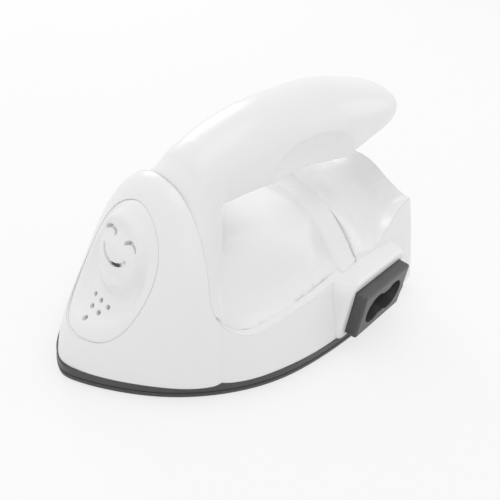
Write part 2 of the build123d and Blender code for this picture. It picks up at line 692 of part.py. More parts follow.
def inlet_frame():
    """Middle of the inlet's face: X along it, Y up, Z out of the housing."""
    turn = math.radians(INLET_TURN)
    middle = INLET_LENGTH / 2
    return Plane(origin=(INLET_FRONT - LENGTH / 2 + middle * math.cos(turn),
                         -(INLET_REACH - middle * math.sin(turn)),
                         INLET_BOTTOM + INLET_HEIGHT / 2),
                 x_dir=(math.cos(turn), math.sin(turn), 0), z_dir=(math.sin(turn), -math.cos(turn), 0))


def inlet_box(margin, front, depth, rounding=0.0):
    """A block on the inlet's axis, from `front` behind the face to `depth`."""
    plan = Rectangle(INLET_LENGTH + 2 * margin, INLET_HEIGHT + 2 * margin)
    if rounding:
        plan = RectangleRounded(INLET_LENGTH + 2 * margin, INLET_HEIGHT + 2 * margin, rounding)
    return inlet_frame() * Pos(0, 0, -depth) * extrude(plan, depth - front)


def inlet_room():
    """Room that the other pieces leave for the inlet, its strap and its wires."""
    return inlet_box(FIT + STRAP_EAR, -OVERRUN, INLET_DEPTH + 2 * PIN_TAIL)


def figure_eight():
    reach = (RECESS_LENGTH - RECESS_WIDTH) / 2
    waist = Rectangle(2 * reach, RECESS_WIDTH - 2 * RECESS_NOTCH)
    return waist + Pos(reach, 0) * Circle(RECESS_WIDTH / 2) + Pos(-reach, 0) * Circle(RECESS_WIDTH / 2)


def inlet_body():
    body = inlet_box(0, 0, INLET_DEPTH, INLET_EDGE)
    face = body.faces().sort_by(Axis((0, 0, 0), inlet_frame().z_dir))[-1]
    body = fillet(face.edges(), INLET_EDGE)
    frame = inlet_frame()
    body -= frame * Pos(0, 0, -RECESS_DEPTH) * extrude(figure_eight(), RECESS_DEPTH + OVERRUN)
    for side in (1, -1):
        axis = frame * Pos(side * PIN_SPACING / 2, 0, -INLET_DEPTH - OVERRUN)
        body -= axis * extrude(Circle(PIN_TAIL_DIAMETER / 2), INLET_DEPTH)
    return body


def inlet_pins():
    """Contact pins with their solder tails."""
    frame = inlet_frame()
    pins = []
    for side in (1, -1):
        shoulder = -RECESS_DEPTH + PIN_SHOULDER
        rod = pin(PIN_DIAMETER, shoulder, -RECESS_DEPTH + PIN_LENGTH)
        rod = fillet(rod.edges().sort_by(Axis.Z)[-1], PIN_TIP)
        rod += pin(PIN_TAIL_DIAMETER, -INLET_DEPTH - PIN_TAIL, shoulder)
        pins.append(frame * Pos(side * PIN_SPACING / 2, 0, 0) * rod)
    return Compound(pins)


def strap_reach():
    return INLET_LENGTH / 2 + FIT + STRAP_EAR / 2


def inlet_strap():
    """Strap across the back of the inlet, screwed to two bosses of the housing."""
    length = INLET_LENGTH + 2 * (FIT + STRAP_EAR)
    strap = extrude(RectangleRounded(length, STRAP_WIDTH, INLET_EDGE), STRAP_THICKNESS)
    for side in (1, -1):
        strap -= Pos(side * PIN_SPACING / 2, 0, 0) * pin(2 * PIN_DIAMETER, -OVERRUN, OVERRUN)
        strap -= Pos(side * strap_reach(), 0, 0) * screw_hole(OVERRUN)
    return inlet_frame() * Pos(0, 0, -INLET_DEPTH - STRAP_THICKNESS) * strap


def inlet_screws():
    back = inlet_frame() * Pos(0, 0, -INLET_DEPTH - STRAP_THICKNESS) * Rot(HALF_TURN, 0, 0)
    return Compound([back * Pos(side * strap_reach(), 0, 0) * screw(STRAP_THICKNESS + SCREW_BITE)
                     for side in (1, -1)])


def inlet_bosses(cavity):
    """Two pillars from the housing's wall to the strap."""
    pillar = extrude(Rectangle(STRAP_EAR, STRAP_WIDTH), INLET_DEPTH - INLET_PROUD - WALL / 2)
    places = [inlet_frame() * Pos(side * strap_reach(), 0, -INLET_DEPTH) for side in (1, -1)]
    return (places[0] * pillar + places[1] * pillar) & cavity


def inlet_surround():
    length, height = INLET_LENGTH + 2 * SURROUND_MARGIN, INLET_HEIGHT + 2 * SURROUND_MARGIN
    plan = RectangleRounded(length, height, SURROUND_CORNER)
    pad = extrude(plan, -OVERRUN, taper=-SURROUND_TAPER)
    pad = fillet(pad.faces().sort_by(Axis.Z)[-1].edges(), SURROUND_EDGE)
    return (inlet_frame() * Pos(0, 0, -INLET_PROUD) * pad) & above(BASE_TOP)


def seat_height(along):
    share = (along - NOSE_SEAM) / (TAIL_SEAM - NOSE_SEAM)
    return NOTCH_LOW + NOTCH_RISE * share


def saddle_points():
    return [(along, side * SADDLE_BOSS_REACH) for along in SADDLE_STATIONS for side in (1, -1)]


def rear_block():
    return block(TAIL_SEAM - LENGTH / 2, LENGTH, -OVERRUN, 2 * HEIGHT)


def main_housing(outer, inner):
    """Nose arch, side walls and tail, hollow from below."""
    body = (outer & rear_trim() & above(BASE_TOP)) + inlet_surround()
    cavity = inner & rear_trim(WALL)
    cavity -= rear_block() - lid(TAIL_SHARES, WALL)
    shell = body - cavity
    for along, across in saddle_points():
        high = seat_height(along) - SADDLE_BOSS_DROP
        outward = across + math.copysign(HALF_WIDTH / 2, across)
        width = SADDLE_BOSS_DIAMETER + 2 * SADDLE_LUG_MARGIN
        lug = at(along, outward, 0) * slab(width, HALF_WIDTH, high - LUG_THICKNESS, high)
        lug += at(along, across, 0) * pin(width, high - LUG_THICKNESS, high)
        shell += lug & cavity
        shell -= at(along, across, high) * screw_hole(LUG_THICKNESS + OVERRUN)
    shell += inlet_bosses(cavity)
    shell -= seat_zone()
    shell -= rear_block() - lid(TAIL_SHARES)
    shell -= inlet_box(FIT, -OVERRUN, INLET_DEPTH)
    back = inlet_frame() * Pos(0, 0, -INLET_DEPTH) * Rot(HALF_TURN, 0, 0)
    for side in (1, -1):
        shell -= back * Pos(side * strap_reach(), 0, 0) * pilot(SCREW_BITE)
        axis = rear_axis(LENGTH, side)
        shell -= axis * pin(SCREW_DIAMETER + 2 * SCREW_PLAY, -REAR_BORE, OVERRUN)
        shell -= axis * pin(HEAD_DIAMETER + 2 * SCREW_PLAY, REAR_SEAT - LENGTH, OVERRUN)
    shell -= oval(PANEL_LENGTH + FIT, PANEL_WIDTH + FIT)
    return shell


def housing_screws():
    length = REAR_SEAT - REAR_LUG_FACE + SCREW_BITE
    return Compound([rear_axis(REAR_SEAT, side) * screw(length) for side in (1, -1)])


def panel_frame():
    """Middle of the oval panel: X towards the inlet side, Y up the nose, Z out of it."""
    slope = math.radians(PANEL_SLOPE)
    return Plane(origin=(PANEL_STATION - LENGTH / 2, 0, PANEL_HEIGHT), x_dir=(0, -1, 0),
                 z_dir=(-math.sin(slope), 0, math.cos(slope)))


def oval(half_length, half_width):
    """Prism of the panel's outline through the nose."""
    half = [(x * half_width, y * half_length) for x, y in OVAL_SHARES]
    points = half + [(-x, y) for x, y in half[-2:0:-1]]
    face = make_face(Spline(*points, periodic=True))
    return panel_frame() * Pos(0, 0, -PANEL_REACH) * extrude(face, 2 * PANEL_REACH)


def nose_face():
    """The nose's form with a shallow hollow for the panel."""
    wires = []
    for row, sink in zip(FAN_SHARES, SINK_SHARES):
        along, up, across, fullness, round_share = row
        x0, z0 = hinge()
        dx, dz = station(along) - x0, up * HOUSING_HEIGHT - z0
        reach = math.hypot(dx, dz)
        half = across * HALF_WIDTH
        points = []
        for a in [-s for s in ARCH_SHARES] + list(ARCH_SHARES[-2::-1]):
            inside = max(0, 1 - (a * half / PANEL_WIDTH) ** 2)
            r = HINGE_RADIUS + (reach - HINGE_RADIUS) * arch_height(a, fullness, round_share)
            r -= sink * SINK * inside
            points.append((x0 + dx / reach * r, a * half, z0 + dz / reach * r))
        wires.append(Wire([Spline(*points).edge(), Line(points[-1], points[0]).edge()]))
    return skin(wires + [body_section(BODY_SHARES[0], 0)])


def arc_slot(half, bow, rise, reach):
    """A bowed slot: its ends are `bow` above its middle, or below when that is negative."""
    radius = (half ** 2 + bow ** 2) / (2 * abs(bow))
    sign = math.copysign(1, bow)
    centre = Pos(reach, rise + sign * radius)
    ring = Circle(radius + SMILE_WIDTH / 2) - Circle(radius - SMILE_WIDTH / 2)
    height = abs(bow) + SMILE_WIDTH / 2
    window = Pos(reach, rise + bow - sign * height / 2) * Rectangle(2 * half, height)
    return (centre * ring) & window


def vent_places():
    """Three rows of round vents, three, two and one, down the panel."""
    places = []
    for row in range(VENT_ROWS):
        count = VENT_ROWS - row
        for k in range(count):
            places.append(((k - (count - 1) / 2) * VENT_PITCH, VENT_START - row * VENT_ROW))
    return places


def lamp_bosses():
    reach = GUIDE_WIDTH / 2 + LAMP_BOSS / 2 + FIT
    return [-reach, reach]


def nose_panel():
    """Oval panel with a bulge, a smile of three slots and a triangle of vents."""
    frame = panel_frame()
    skin_depth = SINK + PANEL_THICKNESS
    body = nose_face()
    bulge = Rot(BULGE_TILT, 0, 0) * scale(Sphere(1), by=BULGE)
    body += frame * Pos(0, BULGE_RISE, -BULGE_SINK) * bulge
    core = nose_hull(skin_depth)
    panel = (body & oval(PANEL_LENGTH, PANEL_WIDTH)) - core
    flange = oval(PANEL_LENGTH + FLANGE_WIDTH, PANEL_WIDTH + FLANGE_WIDTH) & nose_hull(WALL + FIT)
    panel += flange - core
    for across in lamp_bosses():
        place = frame * Pos(across, LAMP_SCREW_RISE, -board_depth())
        panel += (place * pin(LAMP_BOSS, 0, board_depth())) & nose_hull(skin_depth - PANEL_THICKNESS / 2)
        panel -= place * Rot(HALF_TURN, 0, 0) * pilot(SCREW_BITE)
    through = GUIDE_DEPTH + OVERRUN
    cutters = [Pos(x, y) * Circle(VENT_DIAMETER / 2) for x, y in vent_places()]
    cutters += [arc_slot(EYE_HALF, -EYE_BOW, EYE_RISE, side * EYE_REACH) for side in (1, -1)]
    cutters += [arc_slot(MOUTH_HALF, MOUTH_BOW, MOUTH_RISE, 0)]
    for cutter in cutters:
        panel -= frame * Pos(0, 0, -through) * extrude(cutter, through + OVERRUN)
    return panel


def nose_hull(inset):
    nose = [fan_section(row, inset) for row in FAN_SHARES] + [body_section(BODY_SHARES[0], inset)]
    return skin(nose) + skin([body_section(row, inset) for row in BODY_SHARES[:2]])


def board_depth():
    """Front of the lamp board behind the oval's middle plane."""
    return GUIDE_DEPTH + GUIDE_THICKNESS + LAMP_HEIGHT


def light_guide():
    plan = RectangleRounded(GUIDE_WIDTH, GUIDE_LENGTH, GUIDE_THICKNESS)
    back = GUIDE_DEPTH + GUIDE_THICKNESS
    guide = panel_frame() * Pos(0, GUIDE_RISE, -back) * extrude(plan, back)
    return guide & nose_hull(SINK + PANEL_THICKNESS)


def indicator_board():
    width = lamp_bosses()[1] - lamp_bosses()[0] + LAMP_BOSS
    front = -board_depth()
    board = slab(width, GUIDE_LENGTH, front - BOARD_THICKNESS, front, HEAD_ROUNDING)
    board = panel_frame() * Pos(0, GUIDE_RISE, 0) * board
    for across in lamp_bosses():
        board -= panel_frame() * Pos(across, LAMP_SCREW_RISE, front) * screw_hole(OVERRUN)
    return board


def indicator_lamps():
    lamps = []
    for k in (-1, 0, 1):
        lamp = pin(LAMP_DIAMETER, -board_depth(), -board_depth() + LAMP_HEIGHT)
        lamp = fillet(lamp.edges().sort_by(Axis.Z)[-1], LAMP_ROUNDING)
        rise = GUIDE_RISE + (abs(k) - LAMP_STAGGER_SHARE) * LAMP_SPACING
        lamps.append(panel_frame() * Pos(k * LAMP_SPACING, rise, 0) * lamp)
    return Compound(lamps)


def indicator_screws():
    back = -board_depth() - BOARD_THICKNESS
    one = Rot(HALF_TURN, 0, 0) * screw(BOARD_THICKNESS + SCREW_BITE)
    places = [Pos(across, LAMP_SCREW_RISE, back) for across in lamp_bosses()]
    return Compound([panel_frame() * place * one for place in places])


def neck(inset=0.0):
    wires = []
    for along, half in NECK_SHARES:
        widest = max(w for w, u in half) * HALF_WIDTH
        top = half[0][1] * HOUSING_HEIGHT
        narrow, lower = 1 - inset / widest, 1 - inset / top
        wires.append(section(station(along), [(w * HALF_WIDTH * narrow, u * HOUSING_HEIGHT * lower)
                                              for w, u in half]))
    return skin(wires)


def handle_bar(inset=0.0):
    wires = []
    for along, top, low, across in HANDLE_SHARES:
        half = across * HALF_WIDTH
        half -= min(inset, half / 2)
        high, base = top * HEIGHT - inset, low * HEIGHT + inset
        base = min(base, high - inset)
        points = [(w * half, base + d * (high - base)) for w, d in GRIP_SHARES[::-1]]
        wires.append(section(station(along), points))
    return skin(wires)


def finger_recess(margin=0.0):
    """Two spindles that hollow the sides of the handle."""
    radius = FINGER_RADIUS + margin
    cutter = scale(Sphere(1), by=(FINGER_LENGTH + margin, radius, radius))
    half = max(row[-1] for row in HANDLE_SHARES) * HALF_WIDTH
    reach = half + FINGER_RADIUS - FINGER_DEPTH
    sides = [at(FINGER_STATION, side * reach, FINGER_HEIGHT) for side in (1, -1)]
    return sides[0] * cutter + sides[1] * cutter


def cover_slot(margin=0.0):
    length = COVER_REAR - COVER_FRONT + 2 * margin
    width = COVER_WIDTH + 2 * margin
    middle = at((COVER_FRONT + COVER_REAR) / 2, 0, FINGER_HEIGHT)
    return middle * slab(length, width, -OVERRUN, OVERRUN, width * COVER_END_SHARE)


def deck_top(drop=0.0):
    collar = lid(COLLAR_SHARES, drop) & block(STEP_STATION - LENGTH / 2 + drop, LENGTH, -OVERRUN, HEIGHT)
    return lid(DECK_SHARES, drop) + collar


def saddle_handle(outer):
    """Saddle, neck and cantilever handle in one hollow moulding."""
    zone = seat_zone(SEAM / 2)
    lip_form = hull(WALL + FIT)
    core_form = hull(WALL + FIT + LIP_WALL)
    rim = (outer & rear_trim() & zone) + (lip_form & seat_zone(SEAM / 2, LIP_DEPTH))
    body = rim & deck_top()
    grip = (neck() & zone) + handle_bar()
    body += grip - finger_recess()
    body -= core_form & deck_top(WALL)
    hollow = (neck(WALL) & seat_zone(SEAM / 2 + WALL, LIP_DEPTH)) + handle_bar(WALL)
    hollow -= finger_recess(WALL)
    body -= hollow
    body -= cover_slot(FIT)
    bosses = []
    for along, across in saddle_points():
        low = seat_height(along) - SADDLE_BOSS_DROP
        bosses.append(at(along, across, 0) * pin(SADDLE_BOSS_DIAMETER, low, HEIGHT))
    for along, across in control_bosses():
        low = CONTROL_HEIGHT + BOARD_THICKNESS
        bosses.append(at(along, across, 0) * pin(CONTROL_BOSS_DIAMETER, low, HEIGHT))
    for boss in bosses:
        body += boss & deck_top(WALL / 2) & core_form
    bore = Rot(HALF_TURN, 0, 0) * pilot(SCREW_BITE)
    for along, across in saddle_points():
        body -= at(along, across, seat_height(along) - SADDLE_BOSS_DROP) * bore
    for along, across in control_bosses():
        body -= at(along, across, CONTROL_HEIGHT + BOARD_THICKNESS) * bore
    for along in COVER_SCREWS:
        boss = at(along, 0, 0) * pin(COVER_BOSS, cover_seat(along), HEIGHT)
        body += boss & handle_bar(WALL / 2)
        body -= at(along, 0, cover_seat(along)) * bore
    return body


def underside(along):
    """Height of the handle's underside, between the stations of its table."""
    rows = [(row[0] * LENGTH, row[2] * HEIGHT) for row in HANDLE_SHARES]
    for (x0, z0), (x1, z1) in zip(rows, rows[1:]):
        if x0 <= along <= x1:
            return z0 + (z1 - z0) * (along - x0) / (x1 - x0)
    return rows[-1][1]


def cover_seat(along):
    return underside(along) + COVER_BOSS_RISE


def handle_cover():
    """Strip that closes the hollow handle from below."""
    strip = cover_slot() & handle_bar()
    strip -= Pos(0, 0, COVER_THICKNESS) * handle_bar()
    strip &= handle_bar()
    for along in COVER_SCREWS:
        low = underside(along)
        strip += (at(along, 0, 0) * pin(COVER_BOSS, low - COVER_BOSS_RISE, cover_seat(along))) & handle_bar()
        seat = at(along, 0, cover_seat(along) - LUG_THICKNESS / 2)
        strip -= seat * Rot(HALF_TURN, 0, 0) * screw_hole(OVERRUN)
        strip -= seat * pin(HEAD_DIAMETER + 2 * SCREW_PLAY, -2 * OVERRUN, 0)
    return strip


def handle_screws():
    return Compound([at(along, 0, cover_seat(along) - LUG_THICKNESS / 2) * Rot(HALF_TURN, 0, 0)
                     * screw(LUG_THICKNESS / 2 + SCREW_BITE) for along in COVER_SCREWS])


def saddle_screws():
    one = Rot(HALF_TURN, 0, 0) * screw(LUG_THICKNESS + SCREW_BITE)
    drop = SADDLE_BOSS_DROP + LUG_THICKNESS
    return Compound([at(along, across, seat_height(along) - drop) * one for along, across in saddle_points()])


def control_bosses():
    reach = CONTROL_LENGTH / 2 - CONTROL_BOSS_DIAMETER / 2
    return [(CONTROL_STATION - reach, CONTROL_BOSS_REACH), (CONTROL_STATION + reach, -CONTROL_BOSS_REACH)]


def control_board():
    board = at(CONTROL_STATION, 0, 0) * slab(CONTROL_LENGTH, CONTROL_WIDTH, CONTROL_HEIGHT,
                                            CONTROL_HEIGHT + BOARD_THICKNESS, HEAD_ROUNDING)
    for along, across in control_bosses():
        board -= at(along, across, CONTROL_HEIGHT + BOARD_THICKNESS) * screw_hole(OVERRUN)
    return board


def component(size, across):
    length, width, height = size
    low = CONTROL_HEIGHT + BOARD_THICKNESS
    return at(CONTROL_STATION, across, 0) * slab(length, width, low, low + height, HEAD_ROUNDING)


def board_screws():
    one = Rot(HALF_TURN, 0, 0) * screw(BOARD_THICKNESS + SCREW_BITE)
    return Compound([at(along, across, CONTROL_HEIGHT) * one for along, across in control_bosses()])


def wire(route, diameter):
    """Round wire through the corners of a route, with tangent bends."""
    points = [(x - LENGTH / 2, -y, z) for x, y, z in route]
    path = FilletPolyline(*points, radius=BEND)
    profile = Plane(origin=path @ 0, z_dir=path % 0) * Circle(diameter / 2)
    return sweep(profile, path=path)


def tail_end(side):
    """End of an inlet pin's solder tail, as the start of a route."""
    end = inlet_frame() * Pos(side * PIN_SPACING / 2, 0, -INLET_DEPTH - PIN_TAIL - CONTACT)
    place = end.position
    return place.X + LENGTH / 2, -place.Y, place.Z


def live_wire():
    return wire((tail_end(-1),) + LIVE_ROUTE, WIRE_DIAMETER)


def neutral_wire():
    return wire((tail_end(1),) + NEUTRAL_ROUTE, WIRE_DIAMETER)


def heater_wires():
    up = TABLE_TOP + HEATER_THICKNESS / 2
    edge = HEATER_WIDTH / 2 + CONTACT
    wires = []
    for side in (1, -1):
        corners = ((edge, up), (HEATER_WIRE_REACH, up), (HEATER_WIRE_REACH, CONTROL_HEIGHT - CONTACT))
        wires.append(wire([(HEATER_WIRE_STATION, side * y, z) for y, z in corners], WIRE_DIAMETER))
    return Compound(wires)


def wire_sleeves():
    low, high = TABLE_TOP + HEATER_THICKNESS + SLEEVE_DIAMETER / 2, CONTROL_HEIGHT - SLEEVE_DIAMETER / 2
    sleeve = pin(SLEEVE_DIAMETER, low, high) - pin(WIRE_DIAMETER + CONTACT, low - OVERRUN, high + OVERRUN)
    return Compound([at(HEATER_WIRE_STATION, side * HEATER_WIRE_REACH, 0) * sleeve for side in (1, -1)])


def thermostat_wires():
    routes = (STAT_FUSE_ROUTE, STAT_BOARD_ROUTE, FUSE_BOARD_ROUTE)
    return Compound([wire(route, WIRE_DIAMETER) for route in routes])


def lamp_wires():
    routes = [[(x, side * y, z) for x, y, z in LAMP_ROUTE] for side in (1, -1)]
    return Compound([wire(route, LAMP_WIRE_DIAMETER) for route in routes])


os.makedirs("parts", exist_ok=True)
OUTER = hull()
INNER = hull(WALL)
PIECES = {
    "sole_plate": sole_plate(),
    "insulation_ring": insulation_ring(),
    "ring_screws": ring_screws(),
    "heater": heater(),
    "heater_insulation": heater_insulation(),
    "heater_clamp": heater_clamp(),
    "clamp_screws": clamp_screws(),
    "thermostat": thermostat(),
    "thermostat_bracket": thermostat_bracket(),
    "thermostat_screws": thermostat_screws(),
    "thermal_fuse": thermal_fuse(),
    "fuse_clip": fuse_clip(),
    "heat_shield": heat_shield(),
    "shield_screws": shield_screws(),
    "main_housing": main_housing(OUTER, INNER),
    "housing_screws": housing_screws(),
    "saddle_handle": saddle_handle(OUTER),
    "saddle_screws": saddle_screws(),
    "handle_cover": handle_cover(),
    "handle_screws": handle_screws(),
    "nose_panel": nose_panel(),
    "light_guide": light_guide(),
    "indicator_board": indicator_board(),
    "indicator_lamps": indicator_lamps(),
    "indicator_screws": indicator_screws(),
    "inlet_body": inlet_body(),
    "inlet_pins": inlet_pins(),
    "inlet_strap": inlet_strap(),
    "inlet_screws": inlet_screws(),
    "control_board": control_board(),
    "capacitor": component(CAPACITOR, -CAPACITOR[1]),
    "triac": component(TRIAC, TRIAC[1] / 2),
    "board_screws": board_screws(),
    "live_wire": live_wire(),
    "neutral_wire": neutral_wire(),
    "heater_wires": heater_wires(),
    "wire_sleeves": wire_sleeves(),
    "thermostat_wires": thermostat_wires(),
    "lamp_wires": lamp_wires(),
}
for node, shape in PIECES.items():
    export_step(shape, "parts/" + node + ".step")
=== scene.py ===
# %% [markdown]
# # A mini heat press in white plastic
#
# The press is a palm-sized craft iron: a pointed, coated plate under a black rim, a white body with an
# arched nose, a saddle with a handle that reaches back, and a dark mains inlet in its side. Its solids
# come ready from the CAD model, in metres and in one shared frame. This lesson gives every piece its
# finish, adds the small turned and moulded details, and lights the press like a catalogue picture.

# %% Load the solids
import math

import bmesh
import bpy
from mathutils import Matrix, Vector


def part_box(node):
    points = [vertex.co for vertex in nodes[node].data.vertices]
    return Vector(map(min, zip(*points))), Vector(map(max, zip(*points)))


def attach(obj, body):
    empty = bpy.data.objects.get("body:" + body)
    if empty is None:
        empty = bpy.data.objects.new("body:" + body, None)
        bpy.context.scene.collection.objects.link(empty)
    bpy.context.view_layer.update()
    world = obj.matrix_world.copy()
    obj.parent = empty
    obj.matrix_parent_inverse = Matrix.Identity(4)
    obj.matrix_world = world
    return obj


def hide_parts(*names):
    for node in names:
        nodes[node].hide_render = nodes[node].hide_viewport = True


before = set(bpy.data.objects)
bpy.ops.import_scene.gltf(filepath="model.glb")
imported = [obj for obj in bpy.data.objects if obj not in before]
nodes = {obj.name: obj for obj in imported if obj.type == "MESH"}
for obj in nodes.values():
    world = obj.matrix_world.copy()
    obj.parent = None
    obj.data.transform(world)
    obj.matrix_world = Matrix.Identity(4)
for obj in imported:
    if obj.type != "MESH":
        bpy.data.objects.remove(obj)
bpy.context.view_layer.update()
scene = bpy.context.scene
MM = 0.001


def stand(name, data):
    """Puts a new object with these data into the scene."""
    made = bpy.data.objects.new(name, data)
    scene.collection.objects.link(made)
    return made


# %% [markdown]
# ## The camera
#
# The picture looks down on the nose from the inlet's side, about 35 degrees above the table. The camera's
# place and its three directions were worked out from known corners of the press, so they are written as
# they came: a place in millimetres, then the directions of the picture's right, down and depth.

# %% Place the camera
CAMERA_PLACE = (-86.4, -89.2, 104.0)
PICTURE_RIGHT = (0.7544, -0.6447, 0.1233)
PICTURE_DOWN = (-0.3021, -0.5078, -0.8068)
PICTURE_DEPTH = (0.5827, 0.5714, -0.5778)
LENS = 42.2
NEAREST_SEEN = 10 * MM

camera = stand("camera", bpy.data.cameras.new("camera"))
camera.data.lens, camera.data.clip_start = LENS, NEAREST_SEEN
axes = Matrix((PICTURE_RIGHT, [-c for c in PICTURE_DOWN], [-c for c in PICTURE_DEPTH])).transposed()
camera.matrix_world = Matrix.Translation(Vector(CAMERA_PLACE) * MM) @ axes.to_4x4()
scene.camera = camera
print("camera", [round(c, 3) for c in camera.location], "lens", LENS, "mm")

# %% [markdown]
# ## A small language for finishes
#
# A finish is a graph of shader nodes. Written node by node such a graph is long and hard to read, so a few
# small classes do the wiring. `Field` is the output of a node, a value that changes over the surface, and
# Python's own signs work on it: `1 - mask` or `grain * 0.2 + 0.4` add the maths nodes that are needed.
# `Graph` adds a node of any type to a tree of nodes, and serves the room's light as well as the materials.

# %% Define Field and Graph
class Field:
    """A value that varies over the surface: one output of a shader node."""

    def __init__(self, graph, socket):
        self.graph, self.socket = graph, socket

    def maths(self, operation, first, second):
        return self.graph.node("ShaderNodeMath", {"operation": operation}, {0: first, 1: second})

    def __add__(self, other):
        return self.maths("ADD", self, other)

    def __radd__(self, other):
        return self.maths("ADD", other, self)

    def __sub__(self, other):
        return self.maths("SUBTRACT", self, other)

    def __rsub__(self, other):
        return self.maths("SUBTRACT", other, self)

    def __mul__(self, other):
        return self.maths("MULTIPLY", self, other)

    def __rmul__(self, other):
        return self.maths("MULTIPLY", other, self)


class Graph:
    """A tree of nodes, and the one method that adds to it."""

    def __init__(self, tree):
        self.tree = tree

    def node(self, kind, settings=None, sockets=None, give=0):
        made = self.tree.nodes.new(kind)
        for key, value in (settings or {}).items():
            if key == "stops":
                for stop, (place, level) in zip(made.color_ramp.elements, value):
                    stop.position, stop.color = place, (level, level, level, 1)
            else:
                setattr(made, key, value)
        for key, value in (sockets or {}).items():
            self.feed(made.inputs[key], value)
        return Field(self, made.outputs[give])

    def feed(self, socket, value):
        if isinstance(value, Field):
            self.tree.links.new(value.socket, socket)
        else:
            socket.default_value = value


print("a field can be added, subtracted and multiplied")

# %% [markdown]
# `Finish` is the graph of one material. It starts from Blender's Principled shader, whose plain numbers are
# set straight away, and knows the few things that every finish here is made of: clouds of noise, a colour
# between two others, a relief, and the small rounding of every edge.

# %% Define Finish
# The Mix node numbers its sockets by kind: these are the ones that serve colours
MIX_FACTOR, MIX_LOW, MIX_HIGH, MIX_COLOUR = 0, 6, 7, 2
EDGE_SAMPLES = 6


class Finish(Graph):
    """A material that is built from nodes."""

    def __init__(self, name, **constants):
        self.material = bpy.data.materials.new(name)
        self.material.use_nodes = True
        super().__init__(self.material.node_tree)
        self.shader = self.tree.nodes["Principled BSDF"]
        for key, value in constants.items():
            self.shader.inputs[key.replace("_", " ").title().replace("Ior", "IOR")].default_value = value

    def wear(self, **fields):
        """Feeds the shader's own sockets."""
        for key, value in fields.items():
            self.feed(self.shader.inputs[key.replace("_", " ").title()], value)
        return self.material

    def place(self):
        return self.node("ShaderNodeTexCoord", give="Object")

    def stretched(self, factors):
        """The place, stretched along each axis, for a grain that runs one way."""
        return self.node("ShaderNodeVectorMath", {"operation": "MULTIPLY"}, {0: self.place(), 1: factors})

    def noise(self, size, detail=2.0, place=None):
        """Clouds whose blotches are about `size` metres wide."""
        sockets = {"Vector": place or self.place(), "Scale": 1 / size, "Detail": detail}
        return self.node("ShaderNodeTexNoise", sockets=sockets)

    def cells(self, size):
        """Flakes or pits about `size` metres wide: 0 at the middle of each, rising to its rim."""
        return self.node("ShaderNodeTexVoronoi", sockets={"Vector": self.place(), "Scale": 1 / size})

    def between(self, mask, low, high):
        """A colour from `low` to `high` as the mask goes from 0 to 1. Each is a colour or a Field."""
        low, high = (end if isinstance(end, Field) else (*end, 1) for end in (low, high))
        sockets = {MIX_FACTOR: mask, MIX_LOW: low, MIX_HIGH: high}
        return self.node("ShaderNodeMix", {"data_type": "RGBA"}, sockets, give=MIX_COLOUR)

    def bump(self, height, depth, strength=1.0, over=None):
        """A relief `depth` metres deep, over another normal where one is given."""
        sockets = {"Height": height, "Distance": depth, "Strength": strength}
        if over:
            sockets["Normal"] = over
        return self.node("ShaderNodeBump", sockets=sockets)

    def soft_edge(self, radius):
        """The small rounding that a mould or a tool leaves on every edge."""
        return self.node("ShaderNodeBevel", {"samples": EDGE_SAMPLES}, {"Radius": radius})

# %% [markdown]
# A CAD solid keeps its mesh. It only gets its material here, and smooth shading that stops at its sharp
# edges, so that round walls show no facets while corners stay crisp.

# %% Define how a node gets its coat
SHARP_EDGE = math.radians(34)


def coat(names, material):
    """Gives nodes a finish, smooth but for their sharp edges."""
    for name in names:
        mesh = nodes[name].data
        mesh.materials.clear()
        mesh.materials.append(material)
        mesh.shade_smooth()
        mesh.set_sharp_from_angle(angle=SHARP_EDGE)
    print(material.name, "on", ", ".join(names))

# %% [markdown]
# ## White moulded plastic
#
# The body, the handle and the nose panel are glossy white ABS straight from a polished mould. Real ABS is
# never one flat white: the wall's thickness lets a little more or less light back, the mould's polish isn't
# the same everywhere, and every parting edge is rounded by a few tenths of a millimetre. So the colour and
# the roughness drift by a few hundredths, in clouds nearly as wide as the press. Smaller clouds, a fine
# relief or light that scatters inside the plastic would all show as blotches on so smooth and pale a skin.

# %% Make the white plastic
WHITE = (0.89, 0.89, 0.886)
WHITE_DEEP = (0.87, 0.872, 0.873)
COLOUR_CLOUDS, POLISH_CLOUDS, MOULD_EDGE = 70 * MM, 45 * MM, 0.3 * MM


def moulded_white(name, polish):
    finish = Finish(name, specular_ior_level=0.5, ior=1.46)
    drift = finish.noise(COLOUR_CLOUDS, 1.0)
    polish_drift = finish.noise(POLISH_CLOUDS, 0.5)
    edge = finish.soft_edge(MOULD_EDGE)
    colour = finish.between(drift, WHITE_DEEP, WHITE)
    return finish.wear(base_color=colour, roughness=polish_drift * 0.06 + polish, normal=edge)


coat(["main_housing", "saddle_handle", "handle_cover"], moulded_white("white_body", 0.24))
coat(["nose_panel"], moulded_white("white_panel", 0.27))

# %% [markdown]
# ## Soft edges, as a mould leaves them
#
# No edge of a moulding is sharp: the mould's own corners are rounded, and the plastic shrinks as it sets.
# The saddle and the nose panel show it most, so each is made again as a skin over its CAD solid. The solid
# is cut into small voxels, which gives an even mesh, and that mesh is relaxed a few times, which rounds its
# edges by some tenths of a millimetre. Where the neck runs into the handle, and along the step behind the
# dome, it is relaxed for longer, because the real surfaces flow into each other there.

